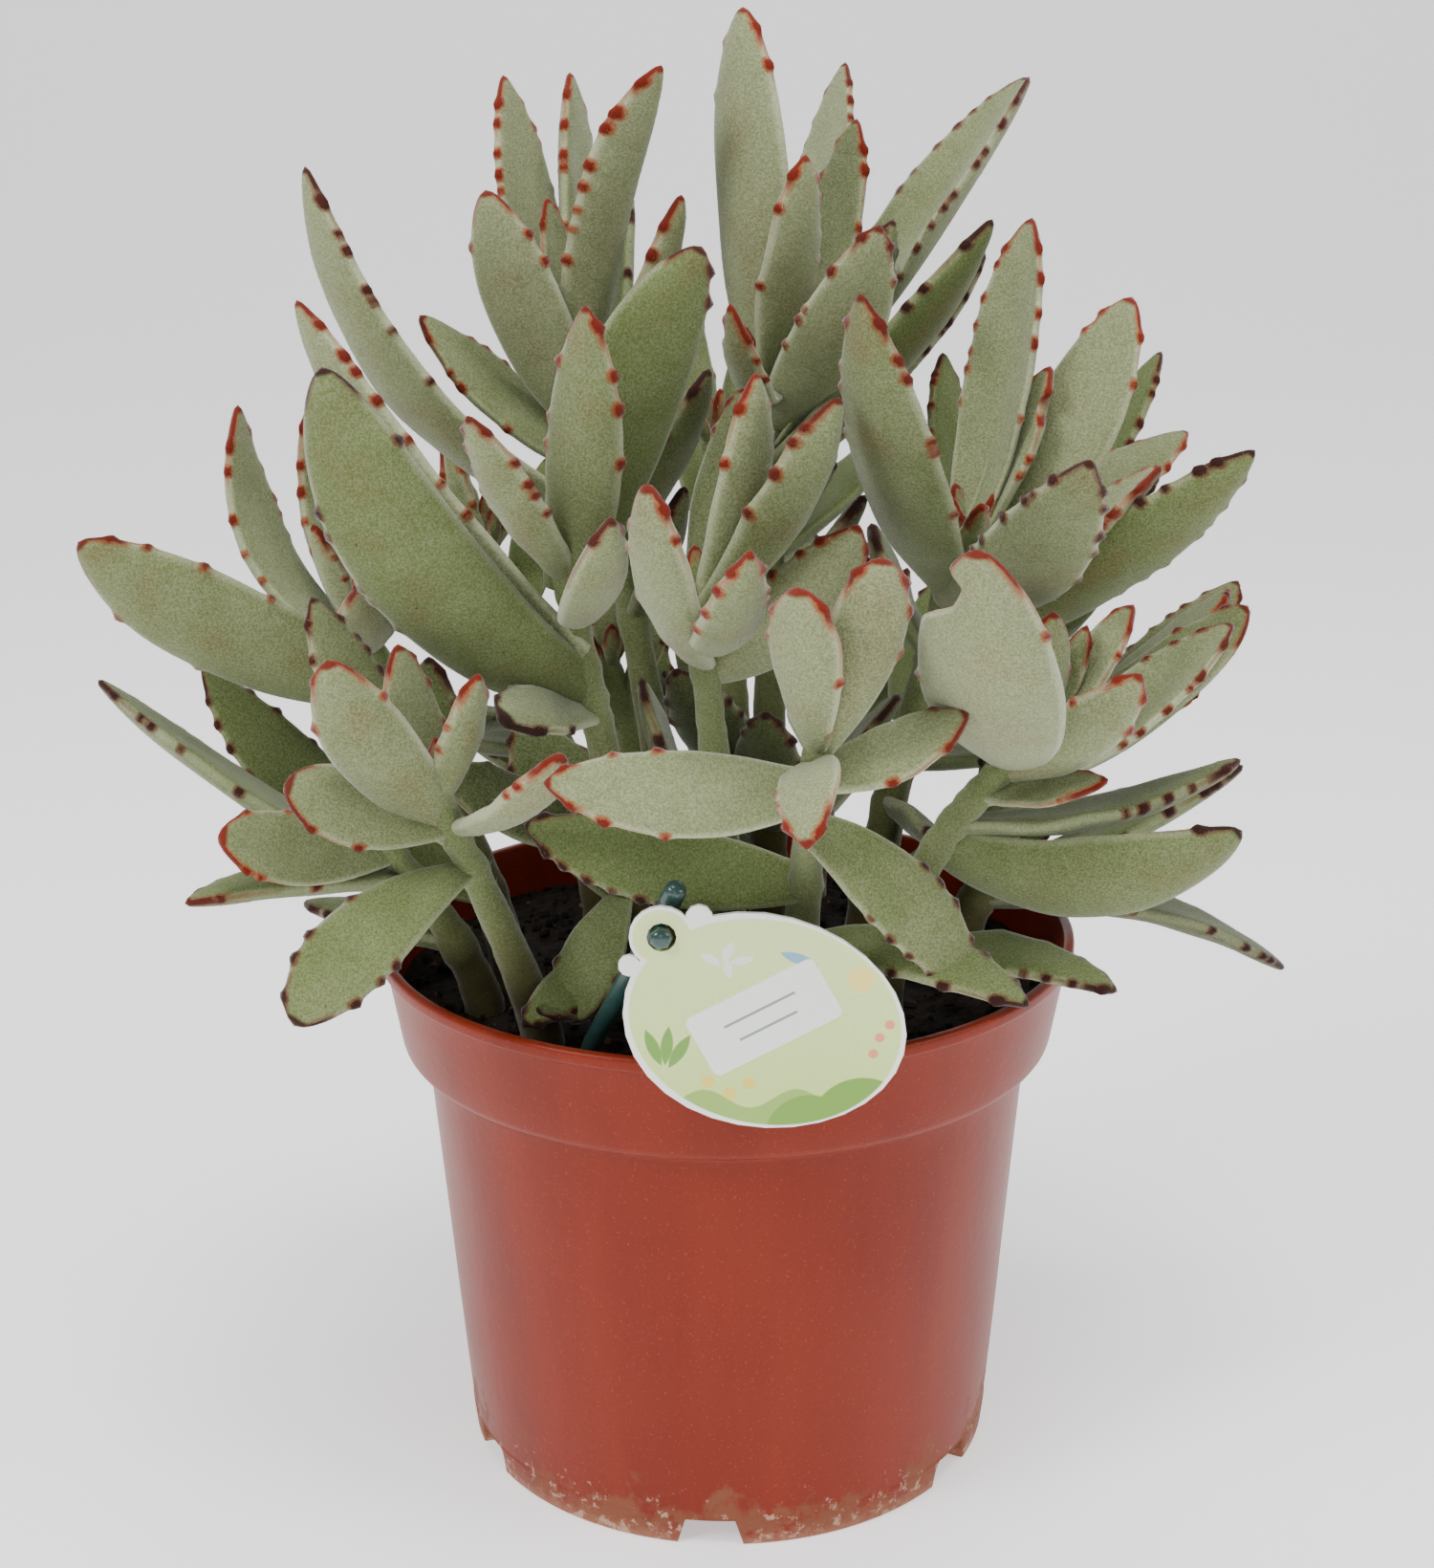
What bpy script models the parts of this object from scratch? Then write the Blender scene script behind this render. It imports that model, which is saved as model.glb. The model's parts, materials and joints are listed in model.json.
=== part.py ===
"""Panda plant in a round nursery pot, with its hanging plant tag.

Units are metres, +Z is up. The origin is on the ground under the middle of the
pot, and the front of the plant, with its tag, faces -Y. Plant sizes below are
given in millimetres and degrees, and are scaled by MM and RAD where they are used.
"""
import math
from collections import namedtuple

import bmesh
import bpy
from mathutils import Matrix, Vector

MM = 0.001
RAD = math.pi / 180

# Pot
POT_HEIGHT = 101.0
RIM_RADIUS = 65.0
RIM_LIP = 2.6
BAND_BOTTOM = 81.8
BAND_BOTTOM_RADIUS = 60.85
STEP_RADIUS = 56.7
STEP_DROP = 1.6
BASE_RADIUS = 50.3
WALL = 1.3
FOOT_WIDTH = 3.2
FLOOR_BOTTOM = 6.0
FLOOR_TOP = 7.4
POT_STEPS = 36
NOTCH_COUNT = 6
NOTCH_FIRST = -94.0
NOTCH_HEIGHT = 5.0
NOTCH_WIDTH = 9.0
NOTCH_FLARE = 3.0
DRAIN_RADIUS = 4.0
DRAIN_CIRCLE = 32.0

# Soil, and the holes that stems and stake stand in
GAP = 0.3
SOIL_LEVEL = 92.0
SOIL_CROWN = 0.8
HOLE_DEPTH = 18.0
HOLE_SIDES = 8

# Stems
STEM_RADIUS = 3.9
STEM_TIP_RADIUS = 2.1
STEM_SPANS = 5

# Leaves
TOOTH = 0.9
TEETH_FROM = 0.45
NECK = 0.2
BIG_LEAF = 45.0
SMALL_LEAF = 28.0
BROAD_LEAF = 55.0
RINGS_BIG = 10
RINGS_MIDDLE = 7
RINGS_SMALL = 6

# Tag card and its stake
CARD_MIDDLE = (6.2, 108.6)
CARD_HALF_LENGTH = 23.0
CARD_HALF_HEIGHT = 18.3
CARD_LEAN = -14.0
CARD_Y = -66.2
CARD_THICKNESS = 0.8
HOLE_AT = (-10.2, 123.4)
LOBE_RADIUS = 5.2
PEG_HOLE_RADIUS = 2.4
SCALLOPS = ((-15.4, 118.6, 1.8), (-4.2, 126.6, 2.2))
PEG_RADIUS = 1.9
STAKE_RADIUS = 1.7
STAKE_FOOT = (-24.0, -44.0)
STAKE_TOP = (-7.8, -63.4, 130.4)
KNOB_RADIUS = 2.0
KNOB_LENGTH = 5.0

Form = namedtuple("Form", "widest blunt cup thickness")
FORMS = {
    "broad": Form(0.52, 0.64, 0.16, 4.4),
    "lance": Form(0.50, 0.76, 0.20, 4.2),
    "spoon": Form(0.64, 0.62, 0.18, 4.2),
    "trough": Form(0.55, 0.72, 0.50, 3.6),
    "finger": Form(0.58, 0.60, 0.06, 6.2),
    "young": Form(0.50, 0.74, 0.30, 3.0),
}

# A leaf leaves its stem at height node, points along heading and rise, bulges
# upwards by arch and sideways by sway (parts of its length), and is turned on
# its own middle line by roll. A stem runs from foot to top and leans late.
Leaf = namedtuple("Leaf", "node heading rise length width arch roll form sway", defaults=(0.0,))
Stem = namedtuple("Stem", "foot top lean leaves")

STEMS = {
    "leafy_stem_a": Stem((-15, -24), (-26, -38, 176), 1.4, (
        Leaf(154, 213, 52, 74, 20, -0.12, -60, "broad"),
        Leaf(172, 347, 68, 61, 18, 0.04, 62, "broad"),
        Leaf(172, 284, 68, 53, 13, -0.05, 34, "lance"),
        Leaf(175, 243, 48, 41, 11, -0.05, 4, "young"),
        Leaf(168, 284, 35, 40, 11, -0.10, -18, "lance"),
        Leaf(150, 234, 12, 25, 12, 0.04, 30, "spoon"),
        Leaf(160, 177, 53, 75, 20, -0.08, -40, "lance"),
        Leaf(118, 240, -46, 27, 12, 0.05, 10, "spoon"),
        Leaf(104, 231, -7, 30, 9, 0.05, 36, "lance"),
        Leaf(126, 187, 26, 36, 13, -0.04, 40, "lance"),
        Leaf(100, 232, 4, 28, 11, 0.0, 30, "lance"),
        Leaf(116, 141, 48, 38, 18, -0.04, 20, "lance"),
    )),
    "leafy_stem_b": Stem((-8, 4), (-25, 6, 200), 1.4, (
        Leaf(176, 195, 51, 82, 20, -0.16, -20, "lance"),
        Leaf(192, 215, 65, 48, 14, -0.05, -48, "broad"),
        Leaf(196, 139, 72, 61, 16, -0.05, -6, "lance"),
        Leaf(200, 160, 80, 34, 9, -0.03, 18, "young"),
        Leaf(198, 310, 68, 62, 15, 0.05, -14, "trough"),
        Leaf(198, 97, 70, 60, 15, -0.05, -60, "lance"),
        Leaf(194, 341, 66, 44, 12, -0.05, 10, "lance"),
        Leaf(190, 80, 58, 56, 15, -0.05, 50, "lance"),
        Leaf(186, 190, 42, 42, 13, -0.05, 40, "lance"),
        Leaf(172, 321, 57, 40, 14, -0.05, -10, "lance"),
        Leaf(158, 333, 67, 28, 10, -0.04, 0, "lance"),
    )),
    "leafy_stem_c": Stem((8, 4), (9, 3, 204), 1.4, (
        Leaf(198, 210, 85, 67, 18, -0.03, -14, "broad"),
        Leaf(196, 66, 60, 69, 18, -0.05, 32, "lance"),
        Leaf(198, 39, 68, 52, 14, -0.05, -8, "lance"),
        Leaf(202, 283, 61, 45, 12, -0.05, -22, "lance"),
        Leaf(194, 298, 46, 51, 15, -0.08, 26, "lance"),
        Leaf(192, 339, 60, 44, 12, -0.05, 38, "lance"),
        Leaf(190, 2, 55, 77, 19, -0.01, -18, "trough"),
        Leaf(186, 335, 48, 60, 16, -0.06, 12, "lance"),
        Leaf(202, 257, 26, 38, 9, -0.20, 30, "young"),
        Leaf(184, 17, 44, 56, 14, -0.04, -10, "lance"),
        Leaf(176, 317, 41, 20, 9, -0.05, -20, "young"),
        Leaf(126, 237, 44, 43, 13, -0.04, -30, "lance"),
        Leaf(112, 220, 37, 43, 13, -0.04, 30, "lance"),
        Leaf(118, 268, 48, 41, 13, -0.04, 10, "lance"),
        Leaf(118, 355, 48, 36, 16, -0.04, 0, "lance"),
        Leaf(118, 194, 66, 42, 13, -0.04, 0, "lance"),
        Leaf(160, 347, 52, 28, 10, -0.04, 0, "lance"),
    )),
    "leafy_stem_d": Stem((1, -20), (-4, -46, 172), 1.4, (
        Leaf(168, 337, 77, 43, 11, -0.06, 28, "lance"),
        Leaf(170, 329, 56, 45, 12, -0.08, 22, "trough"),
        Leaf(166, 281, 30, 45, 11, -0.12, -8, "lance"),
        Leaf(160, 339, 45, 37, 14, -0.08, 66, "lance"),
        Leaf(162, 257, 45, 50, 11, -0.12, 20, "finger"),
        Leaf(160, 60, 74, 47, 15, -0.05, 0, "lance"),
        Leaf(116, 186, 70, 42, 14, -0.04, 10, "lance"),
    )),
    "leafy_stem_e": Stem((24, -10), (42, -20, 178), 1.4, (
        Leaf(168, 247, 49, 73, 18, -0.10, 16, "lance"),
        Leaf(174, 17, 79, 58, 15, -0.04, -22, "trough"),
        Leaf(170, 353, 60, 56, 17, -0.06, -60, "broad"),
        Leaf(166, 289, 33, 60, 17, -0.10, 32, "lance"),
        Leaf(162, 337, 39, 48, 12, -0.06, -22, "trough"),
        Leaf(158, 339, 35, 65, 17, -0.06, 48, "lance"),
        Leaf(164, 38, 38, 67, 15, -0.08, 6, "lance"),
        Leaf(172, 91, 47, 46, 12, -0.08, -42, "lance"),
        Leaf(176, 271, 30, 23, 6, -0.10, -20, "young"),
        Leaf(176, 350, 67, 34, 9, -0.05, -42, "trough"),
        Leaf(128, 296, -10, 28, 11, 0.04, 40, "lance"),
        Leaf(168, 7, 28, 41, 9, -0.04, -30, "trough"),
        Leaf(110, 334, 44, 29, 14, -0.04, 0, "lance"),
        Leaf(156, 170, 66, 26, 12, -0.04, 0, "lance"),
        Leaf(174, 26, 22, 50, 14, -0.04, -20, "lance"),
    )),
    "leafy_stem_f": Stem((12, -40), (14, -73, 156), 1.4, (
        Leaf(155, 252, 70, 30, 12, -0.05, 12, "spoon"),
        Leaf(154, 335, 72, 34, 12, -0.05, 56, "spoon"),
        Leaf(150, 357, 25, 26, 11, -0.06, -40, "lance"),
        Leaf(148, 197, 7, 43, 14, -0.04, 56, "lance"),
        Leaf(152, 265, -12, 24, 10, 0.15, -20, "lance"),
        Leaf(140, 360, -47, 39, 13, 0.06, -60, "lance"),
        Leaf(128, 174, 11, 47, 14, -0.04, 56, "lance"),
        Leaf(114, 328, -2, 42, 11, 0.08, -24, "lance"),
    )),
    "leafy_stem_g": Stem((27, -36), (50, -48, 150), 2.2, (
        Leaf(146, 328, 75, 27, 11, -0.05, 34, "lance"),
        Leaf(144, 320, 39, 33, 11, -0.08, 60, "lance"),
        Leaf(148, 15, 51, 30, 9, -0.06, -22, "trough"),
        Leaf(149, 20, 62, 22, 6, -0.04, -50, "young"),
        Leaf(138, 12, 32, 53, 14, -0.08, -18, "trough"),
        Leaf(134, 11, 9, 51, 12, -0.08, 4, "lance"),
        Leaf(140, 330, 14, 23, 7, -0.05, -36, "young"),
        Leaf(130, 355, 4, 50, 17, -0.16, 70, "broad"),
        Leaf(146, 255, 47, 59, 23, -0.12, 8, "broad"),
        Leaf(108, 346, -4, 39, 11, 0.08, -14, "lance"),
    )),
    "leafy_stem_h": Stem((-32, -35), (-47, -51, 142), 1.2, (
        Leaf(138, 227, 54, 38, 14, -0.08, -50, "broad"),
        Leaf(140, 176, 78, 28, 11, -0.05, 40, "lance"),
        Leaf(134, 173, 61, 46, 13, -0.06, 40, "lance"),
        Leaf(141, 318, 65, 26, 8, -0.05, 10, "young"),
        Leaf(136, 207, 23, 30, 13, -0.05, 60, "spoon"),
        Leaf(136, 320, 34, 31, 9, -0.10, 20, "finger"),
        Leaf(128, 229, -22, 42, 14, 0.08, 36, "spoon"),
    )),
    "leafy_stem_i": Stem((-40, -6), (-64, -14, 162), 1.4, (
        Leaf(150, 198, 30, 60, 19, -0.06, -70, "broad"),
        Leaf(156, 151, 57, 51, 14, -0.22, -4, "lance"),
        Leaf(158, 123, 61, 45, 12, -0.15, -26, "lance"),
        Leaf(161, 241, 61, 24, 6, -0.05, 6, "young"),
        Leaf(158, 281, 39, 28, 12, -0.06, -20, "lance"),
        Leaf(110, 170, 38, 67, 16, -0.10, 36, "lance"),
        Leaf(126, 193, 41, 31, 11, -0.04, 20, "lance"),
        Leaf(130, 259, 75, 28, 11, -0.04, 20, "lance"),
    )),
    "leafy_stem_j": Stem((-44, -18), (-60, -28, 128), 1.3, (
        Leaf(124, 216, 17, 34, 13, -0.04, 60, "spoon"),
        Leaf(118, 206, 4, 41, 11, 0.05, 4, "lance"),
        Leaf(116, 172, 33, 68, 14, -0.04, -12, "lance"),
        Leaf(104, 168, 0, 30, 8, 0.05, -20, "young"),
        Leaf(106, 156, 4, 32, 10, 0.0, 0, "lance"),
    )),
    "leafy_stem_k": Stem((42, -8), (60, -8, 142), 1.3, (
        Leaf(140, 353, 36, 41, 13, -0.08, -50, "broad"),
        Leaf(136, 20, 36, 46, 13, -0.08, -4, "lance"),
        Leaf(108, 16, -18, 68, 14, 0.08, -4, "lance"),
        Leaf(114, 17, 38, 16, 8, -0.05, -24, "young"),
        Leaf(132, 25, 36, 54, 18, -0.08, -20, "lance"),
        Leaf(120, 262, 64, 27, 9, -0.04, 0, "lance"),
        Leaf(138, 22, 34, 45, 14, -0.04, 10, "lance"),
        Leaf(112, 357, 26, 51, 13, -0.04, 0, "lance"),
    )),
}

# The stems behind follow one rule: leaves climb the top of the stem by the golden
# angle, drawn in to a fan that faces outward, steeper and shorter towards the tip.
BackStem = namedtuple("BackStem", "foot top lean outward size count")
BACK_STEMS = {
    "leafy_stem_l": BackStem((-24, 18), (-46, 34, 166), 1.4, 160, 54, 7),
    "leafy_stem_m": BackStem((4, 22), (-2, 42, 186), 1.4, 74, 60, 7),
    "leafy_stem_n": BackStem((28, 14), (46, 34, 164), 1.4, 10, 54, 7),
    "leafy_stem_o": BackStem((17, 40), (26, 60, 140), 1.4, 80, 48, 6),
    "leafy_stem_p": BackStem((-14, 42), (-24, 62, 136), 1.4, 125, 46, 6),
}
GOLDEN_ANGLE = 137.5
RULE_FAN = 0.5
RULE_SPACING = 6.0
RULE_RISE = (14.0, 74.0)
RULE_SHRINK = 0.5
RULE_WIDTH = 0.28


def clear_scene():
    """Remove whatever the open file holds."""
    for item in list(bpy.data.objects):
        bpy.data.objects.remove(item, do_unlink=True)


def make_collection(name):
    """Add a collection to the scene."""
    group = bpy.data.collections.new(name)
    bpy.context.scene.collection.children.link(group)
    return group


def make_material(name, colour, roughness):
    """A plain material in one colour."""
    material = bpy.data.materials.new(name)
    material.use_nodes = True
    shader = material.node_tree.nodes["Principled BSDF"]
    shader.inputs["Base Color"].default_value = (*colour, 1.0)
    shader.inputs["Roughness"].default_value = roughness
    return material


def add_mesh(name, mesh, group, material=None):
    """Put a mesh in a collection as a named object."""
    item = bpy.data.objects.new(name, mesh)
    group.objects.link(item)
    if material:
        mesh.materials.append(material)
    return item


def add_bmesh(name, shape, group, material=None):
    """Turn a finished bmesh into an object and free it."""
    mesh = bpy.data.meshes.new(name)
    shape.to_mesh(mesh)
    shape.free()
    return add_mesh(name, mesh, group, material)


def curve_to_mesh(item, group, material):
    """Replace a curve object by a closed mesh object of the same name."""
    name = item.name
    matrix = item.matrix_world.copy()
    graph = bpy.context.evaluated_depsgraph_get()
    mesh = bpy.data.meshes.new_from_object(item.evaluated_get(graph))
    bpy.data.objects.remove(item, do_unlink=True)
    shape = bmesh.new()
    shape.from_mesh(mesh)
    bmesh.ops.remove_doubles(shape, verts=shape.verts, dist=0.01 * MM)
    shape.to_mesh(mesh)
    shape.free()
    mesh.materials.clear()
    solid = add_mesh(name, mesh, group, material)
    solid.matrix_world = matrix
    return solid


def join_all(item, group, operation="UNION"):
    """Join or cut an object with every object of a collection, then drop them."""
    step = item.modifiers.new(operation.title(), "BOOLEAN")
    step.operation = operation
    step.operand_type = "COLLECTION"
    step.collection = group
    step.solver = "EXACT"
    bpy.context.view_layer.update()
    graph = bpy.context.evaluated_depsgraph_get()
    mesh = bpy.data.meshes.new_from_object(item.evaluated_get(graph))
    item.modifiers.clear()
    item.data = mesh
    for used in list(group.objects):
        bpy.data.objects.remove(used, do_unlink=True)


def turn_profile(name, points, steps, group, material):
    """Turn a profile of (radius, height) points in mm about the Z axis."""
    mesh = bpy.data.meshes.new(name)
    corners = [(radius * MM, 0.0, height * MM) for radius, height in points]
    mesh.from_pydata(corners, [(i, i + 1) for i in range(len(corners) - 1)], [])
    item = add_mesh(name, mesh, group, material)
    screw = item.modifiers.new("Turn", "SCREW")
    screw.steps = steps
    screw.render_steps = steps
    screw.use_merge_vertices = True
    screw.merge_threshold = 0.00001
    return item


def add_cylinder(name, radius, low, high, place, sides, group):
    """An upright cylinder between two heights, all in mm."""
    shape = bmesh.new()
    middle = Matrix.Translation(Vector((*place, (low + high) / 2)) * MM)
    bmesh.ops.create_cone(
        shape, cap_ends=True, segments=sides, radius1=radius * MM, radius2=radius * MM,
        depth=(high - low) * MM, matrix=middle)
    return add_bmesh(name, shape, group)


def wall_radius(height):
    """Outer radius of the pot's wall at a height, in mm."""
    if height >= BAND_BOTTOM:
        share = (height - BAND_BOTTOM) / (POT_HEIGHT - BAND_BOTTOM)
        return BAND_BOTTOM_RADIUS + (RIM_RADIUS - 0.6 - BAND_BOTTOM_RADIUS) * share
    share = height / (BAND_BOTTOM - STEP_DROP)
    return BASE_RADIUS + (STEP_RADIUS - BASE_RADIUS) * share


def notch_cutter(angle, group):
    """A wedge-sided block that cuts one notch through the foot ring."""
    shape = bmesh.new()
    bmesh.ops.create_cube(shape, size=1.0)
    for vert in shape.verts:
        low = vert.co.z < 0
        width = NOTCH_WIDTH + (NOTCH_FLARE if low else 0.0)
        reach = BASE_RADIUS + vert.co.x * 14.0
        height = -NOTCH_HEIGHT if low else NOTCH_HEIGHT
        flare = width + (NOTCH_FLARE if low else 0.0)
        vert.co = Vector((reach, vert.co.y * flare, height)) * MM
    shape.transform(Matrix.Rotation(angle * RAD, 4, "Z"))
    return add_bmesh("notch", shape, group)


def build_pot(group, cutters, material):
    """The thin-walled pot with its lip, band, step, foot notches and drain holes."""
    step_top = BAND_BOTTOM - 0.5
    body_top = BAND_BOTTOM - STEP_DROP
    lip_foot = POT_HEIGHT - RIM_LIP
    profile = [
        (0.0, FLOOR_TOP),
        (wall_radius(FLOOR_TOP) - WALL, FLOOR_TOP),
        (STEP_RADIUS - WALL, body_top - 0.4),
        (wall_radius(BAND_BOTTOM + 0.8) - WALL, BAND_BOTTOM + 0.8),
        (wall_radius(POT_HEIGHT) - WALL, POT_HEIGHT - 0.4),
        (wall_radius(POT_HEIGHT) - WALL + 0.4, POT_HEIGHT),
        (RIM_RADIUS - 0.5, POT_HEIGHT),
        (RIM_RADIUS, POT_HEIGHT - 0.6),
        (RIM_RADIUS, lip_foot + 0.5),
        (wall_radius(lip_foot), lip_foot),
        (wall_radius(BAND_BOTTOM + 0.8), BAND_BOTTOM + 0.8),
        (BAND_BOTTOM_RADIUS - 0.6, step_top),
        (STEP_RADIUS, body_top),
        (BASE_RADIUS, 0.8),
        (BASE_RADIUS - 0.5, 0.0),
        (BASE_RADIUS - FOOT_WIDTH, 0.0),
        (BASE_RADIUS - FOOT_WIDTH, FLOOR_BOTTOM),
        (0.0, FLOOR_BOTTOM),
    ]
    pot = turn_profile("pot", profile, POT_STEPS, group, material)
    for index in range(NOTCH_COUNT):
        notch_cutter(NOTCH_FIRST + index * 360 / NOTCH_COUNT, cutters)
    add_cylinder("drain", DRAIN_RADIUS, FLOOR_BOTTOM - 2, FLOOR_TOP + 2, (0, 0), HOLE_SIDES, cutters)
    for index in range(NOTCH_COUNT):
        turn = (NOTCH_FIRST + index * 360 / NOTCH_COUNT) * RAD
        place = (DRAIN_CIRCLE * math.cos(turn), DRAIN_CIRCLE * math.sin(turn))
        add_cylinder("drain", DRAIN_RADIUS, FLOOR_BOTTOM - 2, FLOOR_TOP + 2, place, HOLE_SIDES, cutters)
    join_all(pot, cutters, "DIFFERENCE")
    return pot


def build_soil(group, cutters, material):
    """The peat fill, clear of the pot by GAP, with a plain hole for each stem."""
    inset = WALL + GAP
    profile = [
        (0.0, SOIL_LEVEL + SOIL_CROWN),
        (40.0, SOIL_LEVEL + SOIL_CROWN / 2),
        (wall_radius(SOIL_LEVEL) - inset, SOIL_LEVEL - 0.5),
        (wall_radius(BAND_BOTTOM + 1.6) - inset, BAND_BOTTOM + 1.6),
        (STEP_RADIUS - inset, BAND_BOTTOM - STEP_DROP + 0.2),
        (wall_radius(FLOOR_TOP) - inset, FLOOR_TOP + GAP),
        (0.0, FLOOR_TOP + GAP),
    ]
    soil = turn_profile("soil", profile, POT_STEPS, group, material)
    low = SOIL_LEVEL - HOLE_DEPTH - GAP
    high = SOIL_LEVEL + 4
    for plan in (*STEMS.values(), *BACK_STEMS.values()):
        add_cylinder("hole", STEM_RADIUS + 2 * GAP, low, high, plan.foot, HOLE_SIDES, cutters)
    add_cylinder("hole", STAKE_RADIUS + 2 * GAP, low, high, STAKE_FOOT, HOLE_SIDES, cutters)
    join_all(soil, cutters, "DIFFERENCE")
    return soil


def stem_point(plan, height):
    """Middle of a stem at a height in mm; it stands upright in the soil."""
    share = max(0.0, (height - SOIL_LEVEL) / (plan.top[2] - SOIL_LEVEL)) ** plan.lean
    x = plan.foot[0] + (plan.top[0] - plan.foot[0]) * share
    y = plan.foot[1] + (plan.top[1] - plan.foot[1]) * share
    return Vector((x, y, height))


def build_stem(name, plan, group, material):
    """The bare stem: a tapering tube from its hole in the soil to its top."""
    curve = bpy.data.curves.new(name, "CURVE")
    curve.dimensions = "3D"
    curve.bevel_depth = STEM_RADIUS * MM
    curve.bevel_resolution = 1
    curve.use_fill_caps = True
    rise = plan.top[2] - SOIL_LEVEL
    heights = [SOIL_LEVEL - HOLE_DEPTH, SOIL_LEVEL]
    heights += [SOIL_LEVEL + rise * (i + 1) / STEM_SPANS for i in range(STEM_SPANS)]
    line = curve.splines.new("POLY")
    line.points.add(len(heights) - 1)
    for point, height in zip(line.points, heights):
        point.co = (*(stem_point(plan, height) * MM), 1.0)
        share = max(0.0, (height - SOIL_LEVEL) / rise)
        point.radius = 1.0 + (STEM_TIP_RADIUS / STEM_RADIUS - 1.0) * share
    item = bpy.data.objects.new(name, curve)
    group.objects.link(item)
    return curve_to_mesh(item, group, material)


def half_outline(share, form):
    """Half the leaf's width at a share of its length, 1 where it is widest."""
    tip = form.blunt
    root = tip * (form.widest + NECK) / (1 - form.widest)
    rising = ((share + NECK) / (form.widest + NECK)) ** root
    return rising * ((1 - share) / (1 - form.widest)) ** tip


def build_leaf(leaf, base, group):
    """One thick leaf: a sphere's rings laid along an arched middle line.

    The margin corners of every other ring in the outer half stand out as teeth.
    """
    form = FORMS[leaf.form]
    rings = RINGS_MIDDLE
    if leaf.length >= BIG_LEAF:
        rings = RINGS_BIG
    if leaf.length < SMALL_LEAF:
        rings = RINGS_SMALL
    sides = 6 if leaf.length >= BROAD_LEAF and leaf.form == "broad" else 4
    across, up = leaf.heading * RAD, leaf.rise * RAD
    ahead = Vector((math.cos(up) * math.cos(across), math.cos(up) * math.sin(across), math.sin(up)))
    over = Vector((-math.sin(up) * math.cos(across), -math.sin(up) * math.sin(across), math.cos(up)))
    beside = ahead.cross(over)
    bulge = ahead * 0.5 + over * (2 * leaf.arch) + beside * (2 * leaf.sway)
    thickness = min(form.thickness, 0.3 * leaf.width + 1.2)
    shape = bmesh.new()
    bmesh.ops.create_uvsphere(shape, u_segments=sides, v_segments=rings, radius=1.0)
    for vert in shape.verts:
        polar = 1 - math.acos(max(-1.0, min(1.0, vert.co.z))) / math.pi
        share = 0.5 * polar + 0.25 * (1 - math.cos(math.pi * polar))
        ring = round(polar * rings)
        girth = math.sqrt(max(1 - vert.co.z ** 2, 1e-12))
        inside = 0 < ring < rings
        side = vert.co.x / girth if inside else 0.0
        lift = vert.co.y / girth if inside else 0.0
        middle = bulge * (2 * share * (1 - share)) + ahead * share ** 2
        along = bulge * (2 - 4 * share) + ahead * (2 * share)
        along.normalize()
        face = (over - along * over.dot(along)).normalized()
        edge = along.cross(face)
        turn = Matrix.Rotation(-leaf.roll * RAD, 3, along)
        face = turn @ face
        edge = turn @ edge
        outline = half_outline(share, form) if inside else 0.0
        half = outline * leaf.width / 2
        tooth = TOOTH if abs(side) > 0.9 and share > TEETH_FROM and (rings - ring) % 2 else 0.0
        width = side * (half + tooth)
        height = lift * thickness / 2 * math.sqrt(outline) + form.cup * half * side ** 2
        vert.co = (base + middle * leaf.length + edge * width + face * height) * MM
    bmesh.ops.recalc_face_normals(shape, faces=shape.faces)
    bmesh.ops.triangulate(shape, faces=shape.faces)
    return add_bmesh("leaf", shape, group)


def rule_leaves(plan):
    """Leaves of a stem at the back, set by the golden angle."""
    leaves = []
    for index in range(plan.count):
        share = index / (plan.count - 1)
        length = plan.size * (1 - RULE_SHRINK * share)
        swing = (GOLDEN_ANGLE * index + 180) % 360 - 180
        leaves.append(Leaf(
            node=plan.top[2] - RULE_SPACING * (plan.count - index - 1) - 2,
            heading=plan.outward + RULE_FAN * swing,
            rise=RULE_RISE[0] + (RULE_RISE[1] - RULE_RISE[0]) * share,
            length=length, width=RULE_WIDTH * length, arch=-0.08, roll=0, form="lance"))
    return leaves


def build_leafy_stem(name, plan, leaves, group, blades, material):
    """A stem with all its leaves fused into one body."""
    stem = build_stem(name, plan, group, material)
    for leaf in leaves:
        build_leaf(leaf, stem_point(plan, leaf.node), blades)
    join_all(stem, blades)
    return stem


def flat_disc(name, radius, place, depth, sides, group):
    """A disc lying in the card's plane, place given as (x, z) in mm."""
    shape = bmesh.new()
    turn = Matrix.Rotation(math.pi / 2, 4, "X")
    middle = Matrix.Translation(Vector((place[0], CARD_Y, place[1])) * MM)
    bmesh.ops.create_cone(
        shape, cap_ends=True, segments=sides, radius1=radius * MM, radius2=radius * MM,
        depth=depth * MM, matrix=middle @ turn)
    return add_bmesh(name, shape, group)


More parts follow.
